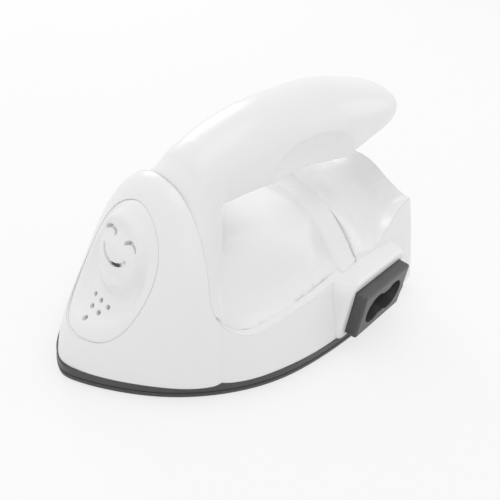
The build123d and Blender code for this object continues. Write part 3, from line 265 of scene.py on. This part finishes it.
# %% Cut a solid into voxels
def voxel_mesh(node, voxel, shift=None, boxes=()):
    """The solid's mesh in even voxels, its points first moved by `shift`, with some boxes melted in."""
    mesh = nodes[node].data.copy()
    shape = bmesh.new()
    shape.from_mesh(mesh)
    for middle, size in boxes:
        place = Matrix.Translation(Vector(middle) * MM) @ Matrix.Diagonal((*Vector(size) * MM, 1))
        bmesh.ops.create_cube(shape, size=1, matrix=place)
    shape.to_mesh(mesh)
    shape.free()
    if shift:
        for vertex in mesh.vertices:
            vertex.co = shift(vertex.co / MM) * MM
    solid = stand(node + "_solid", mesh)
    remesh = solid.modifiers.new("voxels", "REMESH")
    remesh.mode, remesh.voxel_size = "VOXEL", voxel
    evaluated = solid.evaluated_get(bpy.context.evaluated_depsgraph_get())
    mesh = bpy.data.meshes.new_from_object(evaluated)
    bpy.data.objects.remove(solid)
    print(node, "in voxels of", round(voxel / MM, 2), "mm:", len(mesh.vertices), "points")
    return mesh

# %% Relax the voxels into a skin
HALF_WAY = 0.5


def closeness(spot, place, size):
    """1 at a place, falling to 0 at the surface of an ellipsoid round it."""
    return max(0.0, 1 - sum(((spot[k] - place[k]) / size[k]) ** 2 for k in range(3)))


def soft_step(share):
    """0 up to 0 and 1 from 1 on, with a soft start and end between them."""
    share = min(1.0, max(0.0, share))
    return share * share * (3 - 2 * share)


def skin(node, mesh, passes, blends=(), more_passes=0):
    """Puts a mesh in a node's place and relaxes it, for longer in the `blends`: (place, size) in mm.

    Each pass moves every point half way to the middle of its neighbours."""
    mesh.materials.clear()
    mesh.materials.append(nodes[node].data.materials[0])
    mesh.shade_smooth()
    piece = stand(node + "_skin", mesh)
    soften = piece.modifiers.new("soften", "SMOOTH")
    soften.factor, soften.iterations = HALF_WAY, passes
    if blends:
        group = piece.vertex_groups.new(name="blend")
        for vertex in mesh.vertices:
            weight = max(closeness(vertex.co / MM, place, size) for place, size in blends)
            if weight > 0:
                group.add([vertex.index], min(1.0, 2 * weight), "REPLACE")
        relax = piece.modifiers.new("relax", "SMOOTH")
        relax.factor, relax.iterations, relax.vertex_group = HALF_WAY, more_passes, "blend"
    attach(piece, "root")
    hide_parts(node)
    print(piece.name, len(mesh.polygons), "faces")

# %% [markdown]
# The saddle's lower edge lies on the housing's wall, and its deck runs out to nothing there. A voxel can't
# hold so thin an edge. So the points on its underside sink a little into the wall, along its slope, and
# the two mouldings meet in one clean line. Behind the nose the sinking starts as a ramp, so no step shows.

# %% Sink the saddle's rim
SEAT_LOW, SEAT_CLIMB, SEAT_FRONT = 13.0, 8.7 / 42.6, -26.3
RIM_REACH, RIM_DEPTH, RIM_FLARE = 24.0, 1.1, 0.22
RIM_RUN_IN, RIM_END, SEAT_TOUCH = 5.0, 15.5, 0.35


def sunk_rim(spot):
    """Sinks the points of the saddle's underside that lie on the housing's wall."""
    seat = SEAT_LOW + SEAT_CLIMB * (spot.x - SEAT_FRONT)
    on_wall = abs(spot.y) > RIM_REACH and abs(spot.z - seat) < SEAT_TOUCH and spot.x < RIM_END
    share = min(1.0, max(0.0, (spot.x - SEAT_FRONT) / RIM_RUN_IN)) if on_wall else 0
    return spot + Vector((0, math.copysign(RIM_FLARE, spot.y), -RIM_DEPTH)) * share

# %% [markdown]
# The neck is hollow, and its CAD solid is open at the back, over the dome. Two boxes that overlap the neck's
# sides are enough to close it, because voxels melt all that overlaps into one skin. The skin is relaxed most
# in the blends: three ellipsoids round the neck's top, and a row of them along the step behind the dome.

# %% Skin the saddle
SADDLE_VOXEL, SADDLE_PASSES, BLEND_PASSES = 0.26 * MM, 6, 90
NECK_BACK = [((-16.6, 0, 33.2), (2.2, 17.6, 13.0)), ((-16.6, 0, 30.4), (2.2, 20.2, 7.2))]
NECK_BLENDS = [((-20, 0, 46), (9, 12, 7)), ((-20, 8, 41), (8, 5, 10)), ((-20, -8, 41), (8, 5, 10))]
STEP_AT, STEP_TOP, STEP_SAG, STEP_BLEND = 11, 33, 0.022, (2.6, 4.5, 4.0)
STEP_BLENDS = [((STEP_AT, y, STEP_TOP - STEP_SAG * y ** 2), STEP_BLEND) for y in range(-21, 22, 3)]
saddle = voxel_mesh("saddle_handle", SADDLE_VOXEL, sunk_rim, NECK_BACK)
skin("saddle_handle", saddle, SADDLE_PASSES, NECK_BLENDS + STEP_BLENDS, BLEND_PASSES)

# %% [markdown]
# The nose panel is a shallow spoon. Its smile sits on a swelling, and below that the surface sinks before
# it rises again to the rim. The CAD panel has both in a flatter form, so its front is shaped here a little
# more: each point moves along the panel's own normal, out for the swelling and in for the hollow.

# %% Measure the nose panel
PANEL_MIDDLE = Vector((-39.0, 0, 25.4))
PANEL_SLOPE = math.radians(61.3)
PANEL_OUT = Vector((-math.sin(PANEL_SLOPE), 0, math.cos(PANEL_SLOPE)))
PANEL_UP = Vector((math.cos(PANEL_SLOPE), 0, math.sin(PANEL_SLOPE)))
BULGE_MIDDLE, BULGE_HALF, BULGE_EDGE, BULGE_RISE = 5.0, (8.6, 10.2), 0.76, 2.2
BULGE_FADES, BULGE_ENDS = 5.0, 14.0
HOLLOW_MIDDLE, HOLLOW_HALF, HOLLOW_EDGE, HOLLOW_DEPTH = -1.0, (10.6, 13.0), 0.72, 1.7
RIM_GROWTH = 0.01
print("the panel looks up at", round(90 - math.degrees(PANEL_SLOPE), 1), "degrees")

# %% Skin the nose panel
PANEL_VOXEL, PANEL_PASSES = 0.15 * MM, 4


def inside(across, up, middle, half, edge):
    """1 inside an oval on the panel, falling softly to 0 at its outline from a share `edge` of its size."""
    share = math.hypot(across / half[0], (up - middle) / half[1])
    return soft_step((1 - share) / (1 - edge))


def spooned(spot):
    """Raises the panel's swelling, sinks the hollow round its foot and draws its rim nearer to the seam."""
    off = spot - PANEL_MIDDLE
    across, up = off.y, off.dot(PANEL_UP)
    top_fade = min(1.0, max(0.0, (BULGE_ENDS - up) / (BULGE_ENDS - BULGE_FADES)))
    move = BULGE_RISE * inside(across, up, BULGE_MIDDLE, BULGE_HALF, BULGE_EDGE) * top_fade
    move -= HOLLOW_DEPTH * inside(across, up, HOLLOW_MIDDLE, HOLLOW_HALF, HOLLOW_EDGE)
    return spot + PANEL_OUT * move + (PANEL_UP * up + Vector((0, across, 0))) * RIM_GROWTH


skin("nose_panel", voxel_mesh("nose_panel", PANEL_VOXEL, spooned), PANEL_PASSES)

# %% [markdown]
# ## The black rim and the coated plate
#
# The rim is a heat-proof black plastic with a satin, slightly grained skin. The plate under it is cast
# aluminium with a dark non-stick coat, which shows tiny lighter flecks and a smoother, more metallic
# glint. Both are dark, so it is the roughness and not the colour that tells them apart.

# %% Make the rim
RIM_DARK, RIM_LIGHT = (0.04, 0.04, 0.041), (0.065, 0.065, 0.066)
RIM_GRAIN, RIM_CLOUDS, RIM_EDGE = 0.35 * MM, 9 * MM, 0.2 * MM


def rim_black():
    finish = Finish("rim_black", specular_ior_level=0.5)
    grain = finish.noise(RIM_GRAIN, 3.0)
    drift = finish.noise(RIM_CLOUDS, 1.0)
    relief = finish.bump(grain, 0.03 * MM, 0.5, finish.soft_edge(RIM_EDGE))
    colour = finish.between(drift, RIM_DARK, RIM_LIGHT)
    return finish.wear(base_color=colour, roughness=grain * 0.12 + 0.3, normal=relief)


coat(["insulation_ring"], rim_black())

# %% Make the plate's coat
COAT_DARK, COAT_FLECK = (0.04, 0.04, 0.042), (0.18, 0.18, 0.185)
FLECK_SPACING, FLECK_STOPS = 0.9 * MM, ((0.08, 1.0), (0.16, 0.0))
MIST, PLATE_EDGE = 0.25 * MM, 0.25 * MM


def plate_coat():
    finish = Finish("plate_coat", specular_ior_level=0.6)
    spots = finish.node("ShaderNodeValToRGB", {"stops": FLECK_STOPS}, {0: finish.cells(FLECK_SPACING)})
    mist = finish.noise(MIST, 3.0)
    relief = finish.bump(mist, 0.02 * MM, 0.4, finish.soft_edge(PLATE_EDGE))
    colour = finish.between(spots, COAT_DARK, COAT_FLECK)
    return finish.wear(base_color=colour, roughness=mist * 0.14 + 0.24, metallic=spots * 0.5, normal=relief)


coat(["sole_plate"], plate_coat())

# %% [markdown]
# ## The mains inlet
#
# The inlet is a bought-in part of dark grey thermoplastic, duller than the body, with a spark-eroded
# skin. Its contact pins are nickel-plated, with faint rings left by the lathe.

# %% Make the inlet and its pins
INLET_DARK, INLET_LIGHT = (0.055, 0.055, 0.057), (0.08, 0.08, 0.082)
SPARK_SIZE, INLET_CLOUDS, INLET_EDGE = 0.3 * MM, 6 * MM, 0.3 * MM
NICKEL_DARK, NICKEL_LIGHT = (0.78, 0.77, 0.74), (0.92, 0.91, 0.88)
ALONG_THE_PINS = (0.2, 3.0, 0.2)


def inlet_grey():
    finish = Finish("inlet_grey", specular_ior_level=0.5)
    sparks = finish.cells(SPARK_SIZE)
    drift = finish.noise(INLET_CLOUDS)
    relief = finish.bump(sparks, 0.03 * MM, 0.45, finish.soft_edge(INLET_EDGE))
    colour = finish.between(drift, INLET_DARK, INLET_LIGHT)
    return finish.wear(base_color=colour, roughness=sparks * 0.1 + 0.3, normal=relief)


def turned_nickel():
    finish = Finish("turned_nickel")
    rings = finish.noise(0.4 * MM, 2.0, finish.stretched(ALONG_THE_PINS))
    colour = finish.between(rings, NICKEL_DARK, NICKEL_LIGHT)
    relief = finish.bump(rings, 0.01 * MM, 0.5)
    return finish.wear(base_color=colour, metallic=1.0, roughness=rings * 0.15 + 0.3, normal=relief)


coat(["inlet_body"], inlet_grey())
coat(["inlet_pins"], turned_nickel())

# %% [markdown]
# ## Steel, zinc and sheet metal inside
#
# The screws are zinc-plated steel: a bluish grey with a cloudy bloom. The clamp, the brackets and the heat
# shield are rolled sheet, whose grain runs along the press, so the noise that makes it is stretched.

# %% Make the metals
ZINC_DARK, ZINC_LIGHT = (0.5, 0.51, 0.53), (0.72, 0.72, 0.72)
ZINC_BLOOM, SCREW_EDGE = 1.4 * MM, 0.12 * MM
ALONG_THE_PRESS = (0.06, 1.0, 1.0)


def zinc(name):
    finish = Finish(name)
    bloom = finish.noise(ZINC_BLOOM, 4.0)
    colour = finish.between(bloom, ZINC_DARK, ZINC_LIGHT)
    relief = finish.bump(bloom, 0.015 * MM, 0.5, finish.soft_edge(SCREW_EDGE))
    return finish.wear(base_color=colour, metallic=1.0, roughness=bloom * 0.2 + 0.22, normal=relief)


def rolled_sheet(name, dark, light):
    finish = Finish(name)
    grain = finish.noise(0.5 * MM, 3.0, finish.stretched(ALONG_THE_PRESS))
    colour = finish.between(grain, dark, light)
    relief = finish.bump(grain, 0.01 * MM, 0.5)
    return finish.wear(base_color=colour, metallic=1.0, roughness=grain * 0.2 + 0.25, normal=relief)


SCREWS = [name for name in nodes if name.endswith("_screws")]
coat(SCREWS, zinc("zinc_screws"))
coat(["heater_clamp", "thermostat_bracket", "fuse_clip", "inlet_strap"],
     rolled_sheet("rolled_steel", (0.48, 0.48, 0.49), (0.66, 0.66, 0.66)))
coat(["heat_shield"], rolled_sheet("rolled_aluminium", (0.7, 0.7, 0.71), (0.86, 0.86, 0.86)))

# %% [markdown]
# ## The hot parts and the electronics
#
# Nothing of these shows while the press is shut, but each has its own stuff: a fired ceramic heater with a
# mica sheet over it, a phenolic thermostat and a drawn aluminium fuse. Ceramic and phenolic differ only in
# colour and in the size of their speckles, so one function makes both, and the dull cases further down too.

# %% Make the hot parts
CASE_EDGE, FINE_RELIEF = 0.15 * MM, 0.02 * MM
MICA_FLAKES, MICA_GLINTS = 3 * MM, 0.5 * MM


def speckled(name, dark, light, size, rough, depth=FINE_RELIEF, detail=3.0):
    """A dull stuff with speckles of one size: ceramic, phenolic, rubber or moulded cases."""
    finish = Finish(name)
    speck = finish.noise(size, detail)
    relief = finish.bump(speck, depth, 0.5, finish.soft_edge(CASE_EDGE))
    colour = finish.between(speck, dark, light)
    return finish.wear(base_color=colour, roughness=speck * 0.15 + rough, normal=relief)


def layered_mica():
    finish = Finish("layered_mica", coat_weight=0.4)
    flakes = finish.cells(MICA_FLAKES)
    glints = finish.noise(MICA_GLINTS, 4.0)
    colour = finish.between(flakes * glints * 2, (0.36, 0.28, 0.18), (0.74, 0.66, 0.5))
    relief = finish.bump(flakes, FINE_RELIEF, 0.4)
    return finish.wear(base_color=colour, roughness=glints * 0.3 + 0.2, normal=relief)


coat(["heater"], speckled("fired_ceramic", (0.72, 0.7, 0.65), (0.86, 0.85, 0.8), 0.4 * MM, 0.5))
coat(["heater_insulation"], layered_mica())
coat(["thermostat"], speckled("phenolic_brown", (0.2, 0.15, 0.11), (0.32, 0.26, 0.2), 0.6 * MM, 0.4))
coat(["thermal_fuse"], rolled_sheet("drawn_aluminium", (0.74, 0.72, 0.68), (0.88, 0.86, 0.82)))

# %% [markdown]
# The boards are glass-fibre laminate under a green lacquer, and the copper tracks lift the lacquer a little
# over them. A brick pattern stands in for the tracks: its joints are their gaps. The lamps' lenses are tinted
# and partly clear, and the cases beside them are a glossy yellow and a dull black.

# %% Make the boards and what they carry
TRACK_PITCH, LENS_SWIRL = 4 * MM, 1.5 * MM


def lacquered_board():
    finish = Finish("lacquered_board", coat_weight=0.5, coat_roughness=0.15)
    bricks = {"Vector": finish.place(), "Scale": 1 / TRACK_PITCH, "Mortar Size": 0.08, "Mortar Smooth": 0.1}
    tracks = finish.node("ShaderNodeTexBrick", {"offset": 0.5}, bricks, give="Fac")
    weave = finish.noise(0.6 * MM, 2.0)
    colour = finish.between(tracks, (0.012, 0.075, 0.03), (0.03, 0.15, 0.06))
    relief = finish.bump(tracks, 0.03 * MM, 0.6)
    return finish.wear(base_color=colour, roughness=weave * 0.15 + 0.3, normal=relief)


def tinted_lens(name, dark, light):
    finish = Finish(name, transmission_weight=0.35, coat_weight=0.6)
    swirl = finish.noise(LENS_SWIRL, 2.0)
    colour = finish.between(swirl, dark, light)
    relief = finish.bump(swirl, FINE_RELIEF, 0.3)
    return finish.wear(base_color=colour, roughness=swirl * 0.1 + 0.12, normal=relief)


coat(["control_board", "indicator_board"], lacquered_board())
coat(["indicator_lamps"], tinted_lens("lamp_lens", (0.6, 0.12, 0.07), (0.85, 0.3, 0.2)))
coat(["capacitor"], speckled("yellow_case", (0.6, 0.44, 0.06), (0.72, 0.56, 0.12), 0.8 * MM, 0.3, 0.01 * MM))
coat(["triac"], speckled("black_case", (0.02, 0.02, 0.02), (0.045, 0.045, 0.045), 0.4 * MM, 0.5))

# %% [markdown]
# ## The light guide behind the smile
#
# The indicator lamps sit behind a frosted white block, which fills the smile's slots, so that they look like
# shallow engraved lines and not like holes. Its faint glow is painted light, not lamp light: it makes up for
# the light that the narrow slots keep out. A round spot at the lowest point of the mouth is painted dark, as
# painted shade where one looks deep into the slot.

# %% Frost the light guide
# Painted shade: a round dark spot on the guide at the lowest point of the mouth, where the slot looks deep
SLOT_SHADE_UP, SLOT_SHADE_ACROSS, SLOT_SHADE_RADIUS, SLOT_SHADE_SOFTNESS = 1.3, -1.0, 2.7 * MM, 0.6 * MM
SLOT_SHADE_DARK = (0.02, 0.02, 0.02)
FROST_DEEP, FROST = (0.82, 0.83, 0.84), (0.9, 0.91, 0.92)
# Painted glow: the guide gives off light of its own, though it is no lamp
PAINTED_GUIDE_GLOW = 0.22


def frosted_guide():
    finish = Finish("frosted_guide", coat_weight=0.6, emission_strength=PAINTED_GUIDE_GLOW)
    swirl = finish.noise(LENS_SWIRL, 2.0)
    slot_shade_middle = PANEL_MIDDLE + PANEL_UP * SLOT_SHADE_UP + Vector((0, SLOT_SHADE_ACROSS, 0))
    ends = {0: finish.place(), 1: slot_shade_middle * MM}
    away = finish.node("ShaderNodeVectorMath", {"operation": "DISTANCE"}, ends, give="Value")
    reach = {"Value": away, "From Min": SLOT_SHADE_RADIUS, "From Max": SLOT_SHADE_RADIUS + SLOT_SHADE_SOFTNESS}
    outside_slot_shade = finish.node("ShaderNodeMapRange", sockets=reach)
    # Painted shade inside the round spot, frosted white outside it
    colour = finish.between(outside_slot_shade, SLOT_SHADE_DARK, finish.between(swirl, FROST_DEEP, FROST))
    # The painted glow takes the same colour, so the painted shade stays dark
    return finish.wear(base_color=colour, emission_color=colour, roughness=swirl * 0.1 + 0.3)


coat(["light_guide"], frosted_guide())

# %% [markdown]
# The guide's CAD solid is a plain block that ends under the panel. Here its face follows the panel's
# swelling, and is lifted until it lies a little under the panel's own face.

# %% Lift the light guide into the slots
GUIDE_LIFT = 1.3
GUIDE_VOXEL, GUIDE_PASSES = 0.3 * MM, 2


def lifted(mesh):
    """Moves a mesh's points as the panel's are moved, and out by the lift."""
    for vertex in mesh.vertices:
        vertex.co = (spooned(vertex.co / MM) + PANEL_OUT * GUIDE_LIFT) * MM
    return mesh


guide = lifted(voxel_mesh("light_guide", GUIDE_VOXEL))
skin("light_guide", guide, GUIDE_PASSES)

# %% [markdown]
# ## Wires
#
# The wires have a soft rubber skin with a dull grain. The heater's wires also wear glass braid against the
# heat. A braid is two sets of strands that cross, so it is two waves on slants that mirror each other, and
# their product is high only where a strand of each lies on top.

# %% Make the wires and their sleeves
RUBBER_GRAIN = 0.9 * MM
STRAND_WIDTH = 2.5 * MM
MIRRORED_SLANT = (1.0, 1.0, -1.0)


def rubber_wire(name, dark, light):
    return speckled(name, dark, light, RUBBER_GRAIN, 0.42, detail=2.0)


def glass_braid():
    finish = Finish("glass_braid", sheen_weight=0.3)

    def slant(place):
        waves = {"Vector": place, "Scale": 1 / STRAND_WIDTH, "Distortion": 1.0}
        return finish.node("ShaderNodeTexWave", {"bands_direction": "DIAGONAL"}, waves, give="Fac")

    strands = slant(finish.place()) * slant(finish.stretched(MIRRORED_SLANT))
    colour = finish.between(strands, (0.5, 0.47, 0.38), (0.84, 0.82, 0.75))
    relief = finish.bump(strands, 0.1 * MM, 0.8)
    return finish.wear(base_color=colour, roughness=0.7 - strands * 0.2, normal=relief)


coat(["live_wire"], rubber_wire("brown_wire", (0.14, 0.055, 0.022), (0.2, 0.08, 0.035)))
coat(["neutral_wire"], rubber_wire("blue_wire", (0.03, 0.08, 0.3), (0.05, 0.12, 0.4)))
coat(["thermostat_wires"], rubber_wire("red_wire", (0.4, 0.03, 0.02), (0.5, 0.05, 0.04)))
coat(["heater_wires", "lamp_wires"], rubber_wire("white_wire", (0.66, 0.65, 0.62), (0.8, 0.79, 0.76)))
coat(["wire_sleeves"], glass_braid())

# %% [markdown]
# ## The screws that show
#
# Four pan-head screws can be seen: two in the tail and two under the handle. In the CAD model they are plain
# heads on plain shanks. Here each becomes a real one, as one mesh of rings round an axis. The head is domed,
# falls off steeply at its rim, and has a cross stamped in, deepest in its middle. It is a height for each
# place on the head, and that height is softened over the cross's walls, because stamped steel has no corners.

# %% Shape the head of a screw
HEAD_RADIUS, HEAD_RISE = 2.2 * MM, 1.6 * MM
DOME_FALL, RIM_FALL, RIM_POWER = 0.28, 0.5, 9
CROSS_REACH, CROSS_HALF, CROSS_DEPTH, CROSS_TAPER = 1.35 * MM, 0.28 * MM, 1.0 * MM, 0.45
WALL_WIDTH = 0.16 * MM


def fade(value, edge):
    """1 well inside the edge, 0 well outside, with a soft wall between."""
    return soft_step((edge - value) / WALL_WIDTH + 0.5)


def head_height(x, y):
    """Top of the domed head over its seat, with the cross stamped in."""
    share = math.hypot(x, y) / HEAD_RADIUS
    dome = HEAD_RISE * (1 - DOME_FALL * share ** 2 - RIM_FALL * share ** RIM_POWER)
    arms = max(fade(abs(x), CROSS_HALF) * fade(abs(y), CROSS_REACH),
               fade(abs(y), CROSS_HALF) * fade(abs(x), CROSS_REACH))
    return dome - CROSS_DEPTH * arms * (1 - CROSS_TAPER * math.hypot(x, y) / CROSS_REACH)


print("the cross is", round((HEAD_RISE - head_height(0, 0)) / MM, 2), "mm deep")

# %% [markdown]
# The shank has a coarse thread for plastic and a tapered end. Its radius depends on the depth below the seat
# and on the angle round the axis: where both together reach a whole pitch, the crest of the thread is.

# %% Shape the shank of a screw
SHANK_RADIUS, CORE_RADIUS, THREAD_PITCH = 1.2 * MM, 0.85 * MM, 1.0 * MM
CREST_WIDTH = 0.4
TIP_LENGTH, TIP_SHARE = 1.2 * MM, 0.2


def shank_radius(depth, angle, length):
    """Radius of the threaded shank so far below the seat."""
    phase = (depth / THREAD_PITCH + angle / math.tau) % 1
    crest = max(0.0, 1 - abs(phase - 0.5) / (CREST_WIDTH / 2))
    taper = min(1.0, (length - depth) / TIP_LENGTH * (1 - TIP_SHARE) + TIP_SHARE)
    return (CORE_RADIUS + (SHANK_RADIUS - CORE_RADIUS) * crest) * taper


print("the thread stands", round((SHANK_RADIUS - CORE_RADIUS) / MM, 2), "mm over its core")

# %% [markdown]
# A screw's mesh is then a stack of loops of points, from the crown of the head down to the tip, with faces
# between each loop and the next. The head needs close rings for its cross, the shank some loops per turn.

# %% Stitch the loops into a screw
SPOKES, HEAD_RINGS, LOOPS_PER_TURN = 96, 26, 12
SCREW_SHARP = math.radians(50)


def screw_mesh(name, length):
    """A screw along +Z, its seat at the origin."""
    shape = bmesh.new()
    angles = [math.tau * k / SPOKES for k in range(SPOKES)]
    loops = []

    def add_loop(radii, height):
        spots = [(r * math.cos(a), r * math.sin(a)) for r, a in zip(radii, angles)]
        loops.append([shape.verts.new((x, y, height(x, y))) for x, y in spots])

    crown = shape.verts.new((0, 0, head_height(0, 0)))
    for ring in range(1, HEAD_RINGS + 1):
        add_loop([HEAD_RADIUS * ring / HEAD_RINGS] * SPOKES, head_height)
    add_loop([HEAD_RADIUS] * SPOKES, lambda x, y: 0)
    steps = round(length / THREAD_PITCH * LOOPS_PER_TURN)
    for depth in [length * step / steps for step in range(steps + 1)]:
        add_loop([shank_radius(depth, a, length) for a in angles], lambda x, y: -depth)
    for k in range(SPOKES):
        shape.faces.new((crown, loops[0][k], loops[0][(k + 1) % SPOKES]))
    for upper, lower in zip(loops, loops[1:]):
        for k in range(SPOKES):
            after = (k + 1) % SPOKES
            shape.faces.new((upper[k], lower[k], lower[after], upper[after]))
    shape.faces.new(loops[-1][::-1])
    bmesh.ops.recalc_face_normals(shape, faces=shape.faces)
    mesh = bpy.data.meshes.new(name)
    shape.to_mesh(mesh)
    shape.free()
    mesh.shade_smooth()
    mesh.set_sharp_from_angle(angle=SCREW_SHARP)
    return mesh

# %% [markdown]
# The place and the length of each screw are read from the CAD solid that it stands for. Two screws share a
# node, so its points are split in the middle, and the box round each half tells where that screw stands. No
# hand drives two screws home at the same angle, so each cross is turned its own way.

# %% Put the four screws in their places
ZINC = nodes["housing_screws"].data.materials[0]


def halves(node, axis):
    """Lowest and highest corner of each of the two screws in a node, split across an axis."""
    spots = [vertex.co for vertex in nodes[node].data.vertices]
    middle = sum(corner[axis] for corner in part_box(node)) / 2
    for side in (1, -1):
        mine = [spot for spot in spots if (spot[axis] - middle) * side > 0]
        yield (Vector([min(spot[k] for spot in mine) for k in range(3)]),
               Vector([max(spot[k] for spot in mine) for k in range(3)]))


def fit_screw(name, node, low, high, towards, turn):
    """Stands a screw where a CAD one is; its head looks `towards` one of the axes."""
    way = Vector(towards)
    length = (high - low).dot(Vector([abs(c) for c in towards])) - HEAD_RISE
    middle = (low + high) / 2
    seat = middle + way * (length - HEAD_RISE) / 2
    screw = stand(name, screw_mesh(name, length))
    screw.data.materials.append(ZINC)
    spin = Matrix.Rotation(math.radians(turn), 4, "Z")
    screw.matrix_world = Matrix.Translation(seat) @ way.to_track_quat("Z", "Y").to_matrix().to_4x4() @ spin
    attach(screw, "root")
    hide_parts(node)
    print(name, "shank", round(length / MM, 2), "mm at", [round(c / MM, 1) for c in seat])


for number, (corners, turn) in enumerate(zip(halves("housing_screws", 1), (12, 57)), 1):
    fit_screw(f"tail_screw_{number}", "housing_screws", *corners, (1, 0, 0), turn)
for number, (corners, turn) in enumerate(zip(halves("handle_screws", 0), (33, 80)), 1):
    fit_screw(f"handle_screw_{number}", "handle_screws", *corners, (0, 0, -1), turn)

# %% [markdown]
# ## The studio
#
# The press stands on a sheet of white paper in a white room. The paper is a pale diffuse sheet. Seen by the
# camera, in a reflection or through a lens it glows a little as well, so that it reads as white and still
# keeps the soft shadow under the rim. From below the sheet is clear, so that the plate can be looked at.

# %% Lay the floor
FLOOR_HALF, FLOOR_DROP = 1.5, 0.02 * MM
PAPER, PURE_WHITE = (0.9, 0.9, 0.9, 1), (1, 1, 1, 1)
SEEN_GLOW, MIRRORED_GLOW = 0.7, 0.4
WHITE_SEEN_BY = ("Is Camera Ray", "Is Glossy Ray", "Is Transmission Ray")
floor_mesh = bpy.data.meshes.new("floor")
signs = ((-1, -1), (1, -1), (1, 1), (-1, 1))
floor_corners = [(x * FLOOR_HALF, y * FLOOR_HALF, -FLOOR_DROP) for x, y in signs]
floor_mesh.from_pydata(floor_corners, [], [(0, 1, 2, 3)])
stand("floor", floor_mesh)

paper = Finish("paper_floor", roughness=0.9, base_color=PAPER)
seen, mirrored, refracted = (paper.node("ShaderNodeLightPath", give=kind) for kind in WHITE_SEEN_BY)
glow_share = seen * SEEN_GLOW + (mirrored + refracted) * MIRRORED_GLOW
diffuse = Field(paper, paper.shader.outputs[0])
glow = paper.node("ShaderNodeEmission", sockets={"Color": PURE_WHITE, "Strength": 1.0})
from_above = paper.node("ShaderNodeMixShader", sockets={0: glow_share, 1: diffuse, 2: glow})
clear = paper.node("ShaderNodeBsdfTransparent")
below = paper.node("ShaderNodeNewGeometry", give="Backfacing")
sheet = paper.node("ShaderNodeMixShader", sockets={0: below, 1: from_above, 2: clear})
paper.feed(paper.tree.nodes["Material Output"].inputs[0], sheet)
floor_mesh.materials.append(paper.material)
print("floor of", 2 * FLOOR_HALF, "m")

# %% [markdown]
# The room itself gives most of the light, from all sides alike. It is at full white only where the camera
# sees it, in a reflection or through a lens, and lights the press at a lower, plain level, so that the
# press's own white isn't clipped.

# %% Light the room
PLAIN_LIGHT = 0.77
scene.view_settings.view_transform = "Standard"
world = bpy.data.worlds.new("white_room")
world.use_nodes = True
scene.world = world
room = Graph(world.node_tree)
seen, mirrored, refracted = (room.node("ShaderNodeLightPath", give=kind) for kind in WHITE_SEEN_BY)
shows_white = seen + mirrored + refracted
strength = room.node("ShaderNodeMapRange", sockets={"Value": shows_white, "To Min": PLAIN_LIGHT})
sky = room.tree.nodes["Background"].inputs
room.feed(sky["Color"], PURE_WHITE)
room.feed(sky["Strength"], strength)
print("room at", PLAIN_LIGHT, "of white")

# %% [markdown]
# Four large soft lamps give the press its form: one overhead, one low on the far side, a weak one beside the
# camera, and one behind the tail. A small fifth one under the handle lifts the shade in the finger gap. No
# real lamp could hang there, so neither the camera nor a reflection shows it. Places and sizes are in metres,
# powers in watts.

# %% Hang the lamps
MIDDLE = (0, 0, 0.03)
GAP_TOP, GAP_FLOOR = (-0.001, 0, 0.0388), (-0.001, 0, 0)


def softbox(name, place, aim, size, power):
    """A round lamp of some size and power, which looks from a place at what it aims at."""
    lamp = bpy.data.lights.new(name, "AREA")
    lamp.shape, lamp.size, lamp.energy = "DISK", size, power
    light = stand(name, lamp)
    light.location = place
    light.rotation_euler = (Vector(aim) - Vector(place)).to_track_quat("-Z", "Y").to_euler()
    print(name, power, "W")
    return light


softbox("overhead", (-0.1, 0.15, 0.75), MIDDLE, 0.5, 0.72)
softbox("far_side", (0.15, 0.6, 0.3), MIDDLE, 0.3, 0.6)
softbox("camera_side", (-0.45, -0.5, 0.4), MIDDLE, 0.4, 0.24)
softbox("tail_side", (0.6, -0.3, 0.25), MIDDLE, 0.4, 0.35)
fill = softbox("under_handle", GAP_TOP, GAP_FLOOR, 0.026, 0.0006)
fill.visible_camera = fill.visible_glossy = False
